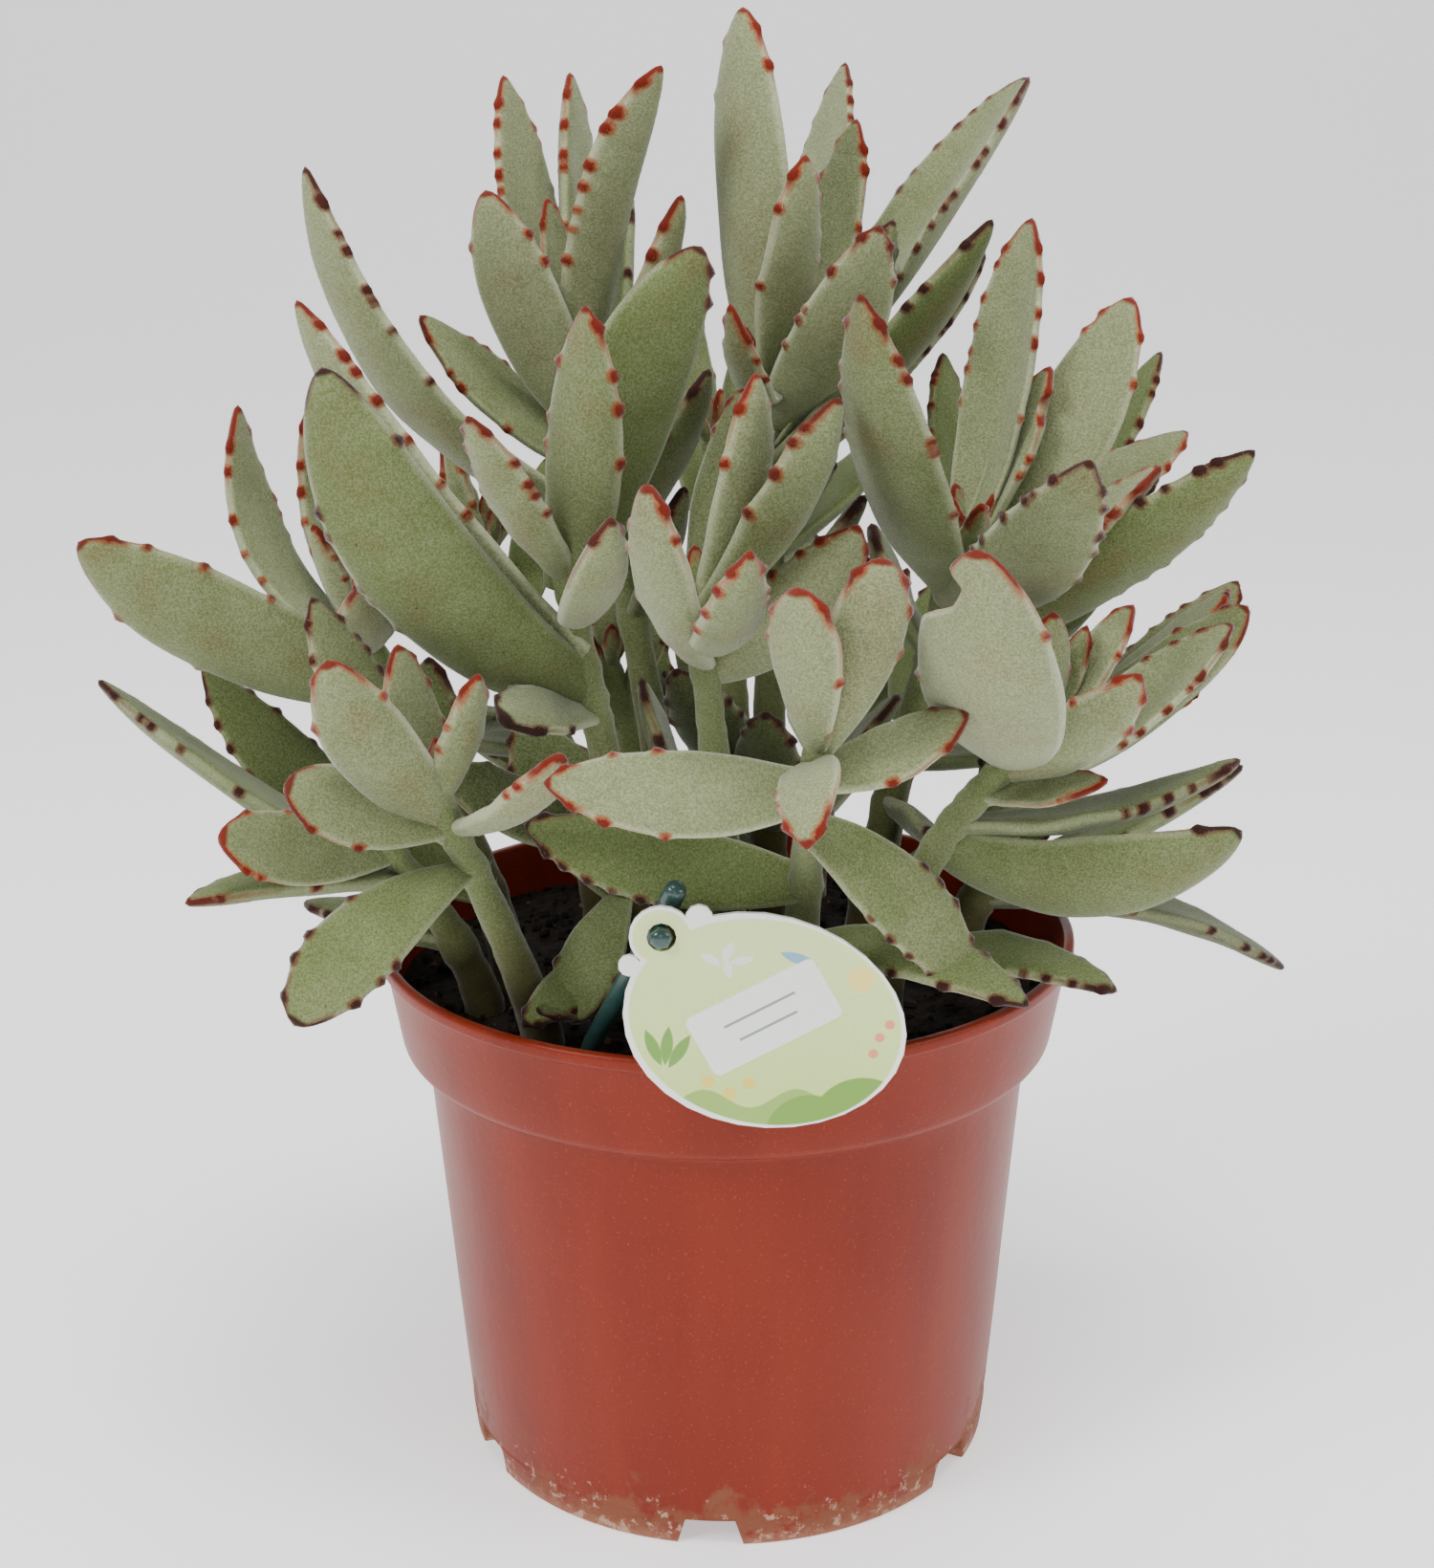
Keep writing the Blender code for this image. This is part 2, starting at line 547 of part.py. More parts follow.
def build_card(group, extras, cutters, material):
    """The egg-shaped card with a round lobe, two scallops and a hole for the peg."""
    curve = bpy.data.curves.new("tag_card", "CURVE")
    curve.dimensions = "2D"
    curve.fill_mode = "BOTH"
    curve.extrude = CARD_THICKNESS / 2 * MM
    count = 32
    line = curve.splines.new("POLY")
    line.points.add(count - 1)
    lean = CARD_LEAN * RAD
    for index, point in enumerate(line.points):
        turn = index * 2 * math.pi / count
        along = CARD_HALF_LENGTH * math.cos(turn)
        high = CARD_HALF_HEIGHT * math.sin(turn) * (1 - 0.05 * math.cos(turn))
        x = along * math.cos(lean) - high * math.sin(lean)
        y = along * math.sin(lean) + high * math.cos(lean)
        point.co = (x * MM, y * MM, 0.0, 1.0)
    line.use_cyclic_u = True
    item = bpy.data.objects.new("tag_card", curve)
    item.location = Vector((CARD_MIDDLE[0], CARD_Y, CARD_MIDDLE[1])) * MM
    item.rotation_euler = (math.pi / 2, 0.0, 0.0)
    group.objects.link(item)
    bpy.context.view_layer.update()
    card = curve_to_mesh(item, group, material)
    flat_disc("lobe", LOBE_RADIUS, HOLE_AT, CARD_THICKNESS, 20, extras)
    for x, z, radius in SCALLOPS:
        flat_disc("scallop", radius, (x, z), CARD_THICKNESS, 10, extras)
    join_all(card, extras)
    flat_disc("peg_hole", PEG_HOLE_RADIUS, HOLE_AT, 4.0, 12, cutters)
    join_all(card, cutters, "DIFFERENCE")
    return card


def build_stake(group, extras, material):
    """The rod in the soil with a knob on top and a peg through the card's hole."""
    foot = Vector((*STAKE_FOOT, SOIL_LEVEL - HOLE_DEPTH))
    knee = Vector((*STAKE_FOOT, SOIL_LEVEL + 1.0))
    top = Vector(STAKE_TOP)
    curve = bpy.data.curves.new("tag_stake", "CURVE")
    curve.dimensions = "3D"
    curve.bevel_depth = STAKE_RADIUS * MM
    curve.bevel_resolution = 2
    curve.use_fill_caps = True
    line = curve.splines.new("POLY")
    corners = (foot, knee, knee + (top - knee) * 0.08 + Vector((0, 0, 0.6)), top)
    line.points.add(len(corners) - 1)
    for point, corner in zip(line.points, corners):
        point.co = (*(corner * MM), 1.0)
    item = bpy.data.objects.new("tag_stake", curve)
    group.objects.link(item)
    stake = curve_to_mesh(item, group, material)

    along = (top - knee).normalized()
    knob = bmesh.new()
    stand = along.to_track_quat("Z", "Y").to_matrix().to_4x4()
    place = Matrix.Translation((top - along * 1.5) * MM)
    bmesh.ops.create_cone(
        knob, cap_ends=True, segments=10, radius1=KNOB_RADIUS * MM, radius2=0.8 * KNOB_RADIUS * MM,
        depth=KNOB_LENGTH * MM, matrix=place @ stand)
    add_bmesh("knob", knob, extras)

    front = Vector((HOLE_AT[0], CARD_Y - 2.0, HOLE_AT[1]))
    back = knee + (top - knee) * ((HOLE_AT[1] - knee.z) / (top.z - knee.z))
    peg = bmesh.new()
    reach = front - back
    stand = reach.to_track_quat("Z", "Y").to_matrix().to_4x4()
    place = Matrix.Translation((front + back) / 2 * MM)
    bmesh.ops.create_cone(
        peg, cap_ends=True, segments=8, radius1=PEG_RADIUS * MM, radius2=0.85 * PEG_RADIUS * MM,
        depth=reach.length * MM, matrix=place @ stand)
    add_bmesh("peg", peg, extras)
    join_all(stake, extras)
    return stake


def build():
    """Build every piece of the potted plant."""
    clear_scene()
    pieces = make_collection("panda_plant")
    cutters = make_collection("cutters")
    blades = make_collection("blades")

    terracotta = make_material("pot_plastic", (0.42, 0.07, 0.03), 0.38)
    peat = make_material("peat", (0.02, 0.014, 0.01), 0.95)
    felt = make_material("leaf_felt", (0.27, 0.31, 0.21), 0.85)
    card = make_material("card", (0.68, 0.78, 0.50), 0.45)
    green_plastic = make_material("stake_plastic", (0.02, 0.09, 0.08), 0.3)

    build_pot(pieces, cutters, terracotta)
    build_soil(pieces, cutters, peat)
    for name, plan in STEMS.items():
        build_leafy_stem(name, plan, plan.leaves, pieces, blades, felt)
    for name, plan in BACK_STEMS.items():
        build_leafy_stem(name, plan, rule_leaves(plan), pieces, blades, felt)
    build_card(pieces, blades, cutters, card)
    build_stake(pieces, blades, green_plastic)


build()
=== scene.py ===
# %% [markdown]
# # A panda plant in its nursery pot
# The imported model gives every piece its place: the pot, the peat in it, sixteen leafy
# stems, and a plant tag on its stake. This file keeps those forms and gives them their
# looks: felted leaves with toothed, rust-spotted rims, crumbly peat and scuffed plastic.

# %% load the frame
import itertools
import json
import math
from collections import namedtuple

import bpy
import numpy as np
from mathutils import Matrix, Vector

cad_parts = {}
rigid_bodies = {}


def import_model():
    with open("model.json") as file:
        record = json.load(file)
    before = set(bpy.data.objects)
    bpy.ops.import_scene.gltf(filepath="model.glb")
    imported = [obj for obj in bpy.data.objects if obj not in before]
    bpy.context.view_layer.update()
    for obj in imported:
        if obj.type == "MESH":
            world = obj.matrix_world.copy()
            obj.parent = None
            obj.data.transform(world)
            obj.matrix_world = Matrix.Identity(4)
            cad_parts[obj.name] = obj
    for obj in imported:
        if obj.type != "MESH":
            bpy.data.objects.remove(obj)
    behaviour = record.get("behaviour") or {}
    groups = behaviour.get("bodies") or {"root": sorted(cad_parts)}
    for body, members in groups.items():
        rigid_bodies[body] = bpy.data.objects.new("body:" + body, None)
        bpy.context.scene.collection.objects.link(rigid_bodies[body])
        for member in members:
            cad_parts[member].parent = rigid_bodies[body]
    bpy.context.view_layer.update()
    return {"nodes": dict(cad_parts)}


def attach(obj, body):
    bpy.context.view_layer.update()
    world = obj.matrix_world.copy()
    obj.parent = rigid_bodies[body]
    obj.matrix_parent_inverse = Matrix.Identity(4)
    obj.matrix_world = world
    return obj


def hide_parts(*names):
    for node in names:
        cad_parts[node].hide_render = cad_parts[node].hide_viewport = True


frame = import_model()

MM = 0.001
TAU = 2 * math.pi

# %% [markdown]
# ## Camera
# The photograph looks down on the pot by about 17 degrees from 0.41 m away. The lens
# follows from the picture's height in pixels, since Blender's sensor of 36 mm lies
# along the longer side.

# %% camera
IMAGE_HEIGHT = 1640
FOCAL_PIXELS = 2450
CAMERA_PLACE = (0.0, -0.41405, 0.25561)
PITCH, YAW, ROLL = 0.2983, -0.0035, -0.0075
SENSOR = 36.0


def camera_axes(pitch, yaw, roll):
    """Right, up and forward of a camera that looks along +Y, turned down, aside and rolled."""
    level = math.cos(pitch)
    forward = Vector((math.sin(yaw) * level, math.cos(yaw) * level, -math.sin(pitch)))
    right = forward.cross(Vector((0, 0, 1))).normalized()
    up = right.cross(forward)
    return (right * math.cos(roll) + up * math.sin(roll),
            up * math.cos(roll) - right * math.sin(roll), forward)


right, up, forward = camera_axes(PITCH, YAW, ROLL)
camera = bpy.data.objects.new("camera", bpy.data.cameras.new("camera"))
camera.data.lens = FOCAL_PIXELS / IMAGE_HEIGHT * SENSOR
camera.data.sensor_width = SENSOR
camera.data.clip_start = 0.02
facing = Matrix((right, up, -forward)).transposed().to_4x4()
camera.matrix_world = Matrix.Translation(CAMERA_PLACE) @ facing
bpy.context.scene.collection.objects.link(camera)
bpy.context.scene.camera = camera
print("lens:", round(camera.data.lens, 2), "mm")

# %% [markdown]
# ## Shader maths as Python
# A material is a net of nodes. The class below wraps one socket, so that sums and
# products of sockets can be written as plain expressions, and one method adds any
# other node: its settings first, then the values or links of its sockets.


# %% shader helper
class Wire:
    """One output socket of a material's nodes; + - * / and ** build Math nodes."""

    def __init__(self, tree, socket=None):
        self.tree, self.socket = tree, socket

    def node(self, kind, sockets=None, out=0, **settings):
        """Add a node: its settings, then values or links for its sockets."""
        made = self.tree.nodes.new(kind)
        for key, value in settings.items():
            setattr(made, key, value)
        for key, value in (sockets or {}).items():
            self.plug(made.inputs[key], value)
        return Wire(self.tree, made.outputs[out])

    def plug(self, target, value):
        """Link a wire to a socket, or set the socket to a number, a place or a screen colour."""
        if isinstance(value, Wire):
            self.tree.links.new(value.socket, target)
        elif target.type == "RGBA":
            target.default_value = (*srgb(*value), 1.0)
        else:
            target.default_value = value

    def math(self, operation, first, second=0.0):
        return self.node("ShaderNodeMath", {0: first, 1: second}, operation=operation)

    def absolute(self): return self.math("ABSOLUTE", self)
    def most(self, other): return self.math("MAXIMUM", self, other)

    def ease(self, low, high):
        """0 below low, 1 above high and a smooth step between; low may be the larger."""
        return self.node("ShaderNodeMapRange", {"Value": self, "From Min": low, "From Max": high},
                         interpolation_type="SMOOTHSTEP")

    def mix(self, share, first, second):
        """Blend two colours by a share from 0 to 1."""
        return self.node("ShaderNodeMix", {0: share, 6: first, 7: second}, out=2, data_type="RGBA")

    def paint(self, ground, *layers):
        """Lay colours over a ground one after another, each by its own share."""
        for share, colour in layers:
            ground = self.mix(share, ground, colour)
        return ground

    def noise(self, place, scale, detail=2.0, rough=0.5):
        """Soft noise from 0 to 1, scale in lumps a metre."""
        sockets = {"Vector": place, "Scale": scale, "Detail": detail, "Roughness": rough}
        return self.node("ShaderNodeTexNoise", sockets)

    def attribute(self, name):
        return self.node("ShaderNodeAttribute", out=2, attribute_name=name)

    def axis(self, place, number):
        """One coordinate of a place in mm: 0 for X, 1 for Y, 2 for Z."""
        return self.node("ShaderNodeSeparateXYZ", {0: place}, out=number) / MM

    def bump(self, height, strength, distance):
        """A normal from a height; distance is the height's size in metres."""
        sockets = {"Height": height, "Strength": strength, "Distance": distance}
        return self.node("ShaderNodeBump", sockets)


def arithmetic(operation, swapped=False):
    """A method that joins a wire and a number or another wire by one Math node."""
    if swapped:
        return lambda wire, other: wire.math(operation, other, wire)
    return lambda wire, other: wire.math(operation, wire, other)


SIGNS = {"add": "ADD", "sub": "SUBTRACT", "mul": "MULTIPLY", "truediv": "DIVIDE", "pow": "POWER"}
for sign, operation in SIGNS.items():
    setattr(Wire, f"__{sign}__", arithmetic(operation))
    setattr(Wire, f"__r{sign}__", arithmetic(operation, swapped=True))


def srgb(red, green, blue):
    """A screen colour from 0 to 255 as the linear numbers that shaders use."""
    shares = np.array((red, green, blue)) / 255
    linear = np.where(shares <= 0.04045, shares / 12.92, ((shares + 0.055) / 1.055) ** 2.4)
    return tuple(float(v) for v in linear)


def new_material(name):
    """A new material, the start of its wires, and the place on the object in metres."""
    material = bpy.data.materials.new(name)
    material.use_nodes = True
    wire = Wire(material.node_tree)
    return material, wire, wire.node("ShaderNodeTexCoord", out=3)


def finish(material, wire, **looks):
    """Set or link the shader's sockets, named in small letters; returns the material."""
    for socket in material.node_tree.nodes["Principled BSDF"].inputs:
        key = socket.name.lower().replace(" ", "_")
        if key in looks:
            wire.plug(socket, looks[key])
    return material


print("red plastic in linear numbers:", [round(v, 3) for v in srgb(165, 74, 46)])

# %% [markdown]
# ## Surfaces from numpy
# Every new piece is a grid of points worked out from a formula as whole arrays. A
# closed one is a stack of rings with a single point at each end.


# %% mesh helpers
def ring_faces(rows, columns):
    """Faces of a stack of rings, plus fans to the two end points that follow the rings."""
    row = np.arange(rows - 1)[:, None] * columns
    column = np.arange(columns)[None, :]
    after = (column + 1) % columns
    quads = np.stack([row + column, row + after, row + columns + after, row + columns + column], -1)
    column, after = column[0], after[0]
    first = np.stack([np.full(columns, rows * columns), after, column], -1)
    top = (rows - 1) * columns
    last = np.stack([np.full(columns, rows * columns + 1), top + column, top + after], -1)
    return quads.reshape(-1, 4), np.vstack([first, last])


def make_mesh(name, points, *faces, values=None, smooth=True):
    """A mesh object from arrays: points in mm, faces by index, and a number per point by name."""
    parts = [np.asarray(part) for part in faces]
    corners = np.concatenate([part.ravel() for part in parts]).astype(np.int32)
    sizes = np.concatenate([np.full(len(part), part.shape[1]) for part in parts])
    mesh = bpy.data.meshes.new(name)
    mesh.vertices.add(len(points))
    mesh.vertices.foreach_set("co", (points * MM).astype(np.float32).ravel())
    mesh.loops.add(len(corners))
    mesh.loops.foreach_set("vertex_index", corners)
    mesh.polygons.add(len(sizes))
    mesh.polygons.foreach_set("loop_start", (np.cumsum(sizes) - sizes).astype(np.int32))
    mesh.update(calc_edges=True)
    mesh.polygons.foreach_set("use_smooth", np.full(len(sizes), smooth))
    for key, numbers in (values or {}).items():
        layer = mesh.attributes.new(key, "FLOAT", "POINT")
        layer.data.foreach_set("value", numbers.astype(np.float32))
    piece = bpy.data.objects.new(name, mesh)
    bpy.context.scene.collection.objects.link(piece)
    return piece


def make_solid(name, stacks, values=None, turn_over=False):
    """A piece from closed stacks of rings, each with its two end points; turn_over flips faces."""
    points, quads, fans, start = [], [], [], 0
    for rings, ends in stacks:
        ring, fan = ring_faces(*rings.shape[:2])
        points += [rings.reshape(-1, 3), ends]
        quads.append(ring + start)
        fans.append(fan + start)
        start += rings.shape[0] * rings.shape[1] + 2
    step = -1 if turn_over else 1
    faces = np.concatenate(quads)[:, ::step], np.concatenate(fans)[:, ::step]
    return make_mesh(name, np.concatenate(points), *faces, values=values)


def dress(piece, material, slot, *nodes):
    """Give a piece its material, its body and the CAD nodes it stands for; the slot is not used."""
    piece.data.materials.append(material)
    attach(piece, "root")
    if nodes:
        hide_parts(*nodes)
    return piece


def lumps(places, size, seed):
    """Smooth random heights from -1 to 1: random values on a lattice, eased between its corners."""
    table = np.random.default_rng(seed).uniform(-1, 1, 4096)
    scaled = np.asarray(places, float) / size
    cell = np.floor(scaled).astype(np.int64)
    part = scaled - cell
    part = part * part * (3 - 2 * part)
    total = 0.0
    for corner in np.ndindex(*(2,) * scaled.shape[-1]):
        offset = np.array(corner)
        code = ((cell + offset) * np.array((1619, 31337, 6971))[:len(corner)]).sum(-1)
        weight = np.where(offset == 1, part, 1 - part).prod(-1)
        total = total + table[code % 4096] * weight
    return total


# %% [markdown]
# ## The design of the plant
# Each stem runs from its hole in the peat to a leaning top, and each leaf leaves it at
# a height, points along a heading and a rise, and has its own arch, roll and form.
# These are the same numbers as in the part's source, in mm and degrees.

# %% stems and leaves
SOIL_LEVEL = 92.0
STEM_RADIUS, STEM_TIP_RADIUS = 3.9, 2.1
NECK = 0.2

Form = namedtuple("Form", "widest blunt cup thickness")
FORMS = {
    "broad": Form(0.52, 0.64, 0.16, 4.4),
    "lance": Form(0.50, 0.76, 0.20, 4.2),
    "spoon": Form(0.64, 0.62, 0.18, 4.2),
    "trough": Form(0.55, 0.72, 0.50, 3.6),
    "finger": Form(0.58, 0.60, 0.06, 6.2),
    "young": Form(0.50, 0.74, 0.30, 3.0),
}
Leaf = namedtuple("Leaf", "node heading rise length width arch roll form")
Stem = namedtuple("Stem", "foot top lean leaves")


def leaves(table):
    """Leaves from lines of text: node height, heading, rise, length, width, arch, roll and form."""
    rows = [line.split() for line in table.strip().splitlines()]
    return [Leaf(*map(float, numbers), form) for *numbers, form in rows]


STEMS = {
    "leafy_stem_a": Stem((-15, -24), (-26, -38, 176), 1.4, leaves("""
    154 213 52 74 20 -.12 -60 broad
    172 347 68 61 18 .04 62 broad
    172 284 68 53 13 -.05 34 lance
    175 243 48 41 11 -.05 4 young
    168 284 35 40 11 -.10 -18 lance
    150 234 12 25 12 .04 30 spoon
    160 177 53 75 20 -.08 -40 lance
    118 240 -46 27 12 .05 10 spoon
    104 231 -7 30 9 .05 36 lance
    126 187 26 36 13 -.04 40 lance
    100 232 4 28 11 .0 30 lance
    116 141 48 38 18 -.04 20 lance
    """)),
    "leafy_stem_b": Stem((-8, 4), (-25, 6, 200), 1.4, leaves("""
    176 195 51 82 20 -.16 -20 lance
    192 215 65 48 14 -.05 -48 broad
    196 139 72 61 16 -.05 -6 lance
    200 160 80 34 9 -.03 18 young
    198 310 68 62 15 .05 -14 trough
    198 97 70 60 15 -.05 -60 lance
    194 341 66 44 12 -.05 10 lance
    190 80 58 56 15 -.05 50 lance
    186 190 42 42 13 -.05 40 lance
    172 321 57 40 14 -.05 -10 lance
    158 333 67 28 10 -.04 0 lance
    """)),
    "leafy_stem_c": Stem((8, 4), (9, 3, 204), 1.4, leaves("""
    198 210 85 67 18 -.03 -14 broad
    196 66 60 69 18 -.05 32 lance
    198 39 68 52 14 -.05 -8 lance
    202 283 61 45 12 -.05 -22 lance
    194 298 46 51 15 -.08 26 lance
    192 339 60 44 12 -.05 38 lance
    190 2 55 77 19 -.01 -18 trough
    186 335 48 60 16 -.06 12 lance
    202 257 26 38 9 -.20 30 young
    184 17 44 56 14 -.04 -10 lance
    176 317 41 20 9 -.05 -20 young
    126 237 44 43 13 -.04 -30 lance
    112 220 37 43 13 -.04 30 lance
    118 268 48 41 13 -.04 10 lance
    118 355 48 36 16 -.04 0 lance
    118 194 66 42 13 -.04 0 lance
    160 347 52 28 10 -.04 0 lance
    """)),
    "leafy_stem_d": Stem((1, -20), (-4, -46, 172), 1.4, leaves("""
    168 337 77 43 11 -.06 28 lance
    170 329 56 45 12 -.08 22 trough
    166 281 30 45 11 -.12 -8 lance
    160 339 45 37 14 -.08 66 lance
    162 257 45 50 11 -.12 20 finger
    160 60 74 47 15 -.05 0 lance
    116 186 70 42 14 -.04 10 lance
    """)),
    "leafy_stem_e": Stem((24, -10), (42, -20, 178), 1.4, leaves("""
    168 247 49 73 18 -.10 16 lance
    174 17 79 58 15 -.04 -22 trough
    170 353 60 56 17 -.06 -60 broad
    166 289 33 60 17 -.10 32 lance
    162 337 39 48 12 -.06 -22 trough
    158 339 35 65 17 -.06 48 lance
    164 38 38 67 15 -.08 6 lance
    172 91 47 46 12 -.08 -42 lance
    176 271 30 23 6 -.10 -20 young
    176 350 67 34 9 -.05 -42 trough
    128 296 -10 28 11 .04 40 lance
    168 7 28 41 9 -.04 -30 trough
    110 334 44 29 14 -.04 0 lance
    156 170 66 26 12 -.04 0 lance
    174 26 22 50 14 -.04 -20 lance
    """)),
    "leafy_stem_f": Stem((12, -40), (14, -73, 156), 1.4, leaves("""
    155 252 70 30 12 -.05 12 spoon
    154 335 72 34 12 -.05 56 spoon
    150 357 25 26 11 -.06 -40 lance
    148 197 7 43 14 -.04 56 lance
    152 265 -12 24 10 .15 -20 lance
    140 360 -47 39 13 .06 -60 lance
    128 174 11 47 14 -.04 56 lance
    114 328 -2 42 11 .08 -24 lance
    """)),
    "leafy_stem_g": Stem((27, -36), (50, -48, 150), 2.2, leaves("""
    146 328 75 27 11 -.05 34 lance
    144 320 39 33 11 -.08 60 lance
    148 15 51 30 9 -.06 -22 trough
    149 20 62 22 6 -.04 -50 young
    138 12 32 53 14 -.08 -18 trough
    134 11 9 51 12 -.08 4 lance
    140 330 14 23 7 -.05 -36 young
    130 355 4 50 17 -.16 70 broad
    146 255 47 59 23 -.12 8 broad
    108 346 -4 39 11 .08 -14 lance
    """)),
    "leafy_stem_h": Stem((-32, -35), (-47, -51, 142), 1.2, leaves("""
    138 227 54 38 14 -.08 -50 broad
    140 176 78 28 11 -.05 40 lance
    134 173 61 46 13 -.06 40 lance
    141 318 65 26 8 -.05 10 young
    136 207 23 30 13 -.05 60 spoon
    136 320 34 31 9 -.10 20 finger
    128 229 -22 42 14 .08 36 spoon
    """)),
    "leafy_stem_i": Stem((-40, -6), (-64, -14, 162), 1.4, leaves("""
    150 198 30 60 19 -.06 -70 broad
    156 151 57 51 14 -.22 -4 lance
    158 123 61 45 12 -.15 -26 lance
    161 241 61 24 6 -.05 6 young
    158 281 39 28 12 -.06 -20 lance
    110 170 38 67 16 -.10 36 lance
    126 193 41 31 11 -.04 20 lance
    130 259 75 28 11 -.04 20 lance
    """)),
    "leafy_stem_j": Stem((-44, -18), (-60, -28, 128), 1.3, leaves("""
    124 216 17 34 13 -.04 60 spoon
    118 206 4 41 11 .05 4 lance
    116 172 33 68 14 -.04 -12 lance
    104 168 0 30 8 .05 -20 young
    106 156 4 32 10 .0 0 lance
    """)),
    "leafy_stem_k": Stem((42, -8), (60, -8, 142), 1.3, leaves("""
    140 353 36 41 13 -.08 -50 broad
    136 20 36 46 13 -.08 -4 lance
    108 16 -18 68 14 .08 -4 lance
    114 17 38 16 8 -.05 -24 young
    132 25 36 54 18 -.08 -20 lance
    120 262 64 27 9 -.04 0 lance
    138 22 34 45 14 -.04 10 lance
    112 357 26 51 13 -.04 0 lance
    """)),
}

# %% [markdown]
# The stems behind follow one rule, as in the part's source: leaves climb by the golden
# angle, drawn in to a fan that faces outward, steeper and shorter towards the tip.

# %% stems behind
BackStem = namedtuple("BackStem", "foot top lean outward size count")
BACK_STEMS = {
    "leafy_stem_l": BackStem((-24, 18), (-46, 34, 166), 1.4, 160, 54, 7),
    "leafy_stem_m": BackStem((4, 22), (-2, 42, 186), 1.4, 74, 60, 7),
    "leafy_stem_n": BackStem((28, 14), (46, 34, 164), 1.4, 10, 54, 7),
    "leafy_stem_o": BackStem((17, 40), (26, 60, 140), 1.4, 80, 48, 6),
    "leafy_stem_p": BackStem((-14, 42), (-24, 62, 136), 1.4, 125, 46, 6),
}
GOLDEN_ANGLE = 137.5
RULE_FAN = 0.5
RULE_SPACING = 6.0
RULE_RISE = (14.0, 74.0)
RULE_SHRINK = 0.5
RULE_WIDTH = 0.28


def rule_leaves(plan):
    """Leaves of a stem at the back, set by the golden angle."""
    grown = []
    for index in range(plan.count):
        share = index / (plan.count - 1)
        length = plan.size * (1 - RULE_SHRINK * share)
        swing = (GOLDEN_ANGLE * index + 180) % 360 - 180
        grown.append(Leaf(
            node=plan.top[2] - RULE_SPACING * (plan.count - index - 1) - 2,
            heading=plan.outward + RULE_FAN * swing,
            rise=RULE_RISE[0] + (RULE_RISE[1] - RULE_RISE[0]) * share,
            length=length, width=RULE_WIDTH * length, arch=-0.08, roll=0, form="lance"))
    return grown


for name, plan in BACK_STEMS.items():
    STEMS[name] = Stem(plan.foot, plan.top, plan.lean, rule_leaves(plan))
print("stems:", len(STEMS), "leaves:", sum(len(plan.leaves) for plan in STEMS.values()))

# %% [markdown]
# ## Teeth
# The outer half of each rim carries small bumps a few millimetres apart, uneven in
# place and size. Narrow young leaves have the most and broad old ones few. A nick or
# two in the rim is an old bite.

# %% teeth
TEETH_FROM = 0.40
TEETH_TO = 0.965
TOOTH_SPACING = 4.3
TOOTH_HEIGHT = 0.8
TOOTH_LENGTH = 0.95
TOOTHED = {"broad": 0.35, "lance": 0.95, "spoon": 0.7, "trough": 1.1, "finger": 0.6, "young": 1.0}
BITES = {("leafy_stem_g", 8): (0.86, 1, 4.2, 3.6), ("leafy_stem_e", 9): (0.80, 1, 1.6, 2.0)}


def leaf_teeth(leaf, dice):
    """Shares of the length, sides and radii in mm of a leaf's teeth."""
    count = max(2, int(leaf.length * (TEETH_TO - TEETH_FROM) / TOOTH_SPACING))
    even = (np.repeat(np.arange(count), 2) + dice.uniform(0.15, 0.85, 2 * count)) / count
    size = dice.uniform(0.85, 1.45, 2 * count) * (0.7 + 0.3 * even) * min(1.0, leaf.width / 11)
    kept = dice.uniform(size=2 * count) < TOOTHED[leaf.form] * (0.55 + 0.5 * even)
    places = TEETH_FROM + (TEETH_TO - TEETH_FROM) * even
    return places, np.tile((-1.0, 1.0), count), np.where(kept, size, 0.0)


sample = leaf_teeth(STEMS["leafy_stem_b"].leaves[4], np.random.default_rng(1))
print("teeth of one leaf:", np.count_nonzero(sample[2]))

# %% [markdown]
# ## The leaf as a surface
# A leaf is a ring carried along an arched middle line. The ring is an ellipse as wide
# as the leaf's outline and as thick as its flesh, with both rims lifted a little, and
# the teeth stand out of the rims. The same arrays give each point the numbers that the
# felt's colours need: how far it lies from the rim, from the nearest tooth and from
# the tip, which face it is on, and how old the leaf is.

# %% leaf surface
ROWS_A_MM = 1.25
LEAF_ROWS = (12, 84)
LEAF_COLUMNS = 16
BUD_LENGTH, BUD_COLUMNS = 15, 10
GROOVE_DEPTH, GROOVE_WIDTH = 0.35, 0.18
RIM_WAVE = 0.06
DENT_DEPTH = 0.14
SPOT_INSET = 0.4
FAR = 20.0
FIELDS = ("margin", "spot", "from_tip", "along", "under", "age", "tone_and_shade")


def stem_points(plan, heights):
    """Middle of a stem at heights in mm: upright in the soil, then a power of the share."""
    share = np.clip((heights - SOIL_LEVEL) / (plan.top[2] - SOIL_LEVEL), 0, None) ** plan.lean
    foot, top = np.array(plan.foot, float), np.array(plan.top[:2], float)
    return np.concatenate([foot + share[..., None] * (top - foot), heights[..., None]], -1)


def half_outline(share, form):
    """Half the leaf's width at a share of its length, 1 where it is widest."""
    root = form.blunt * (form.widest + NECK) / (1 - form.widest)
    rising = ((share + NECK) / (form.widest + NECK)) ** root
    return rising * (np.clip(1 - share, 0, 1) / (1 - form.widest)) ** form.blunt


def unit(vectors):
    """Vectors divided by their lengths."""
    return vectors / np.linalg.norm(vectors, axis=-1, keepdims=True)


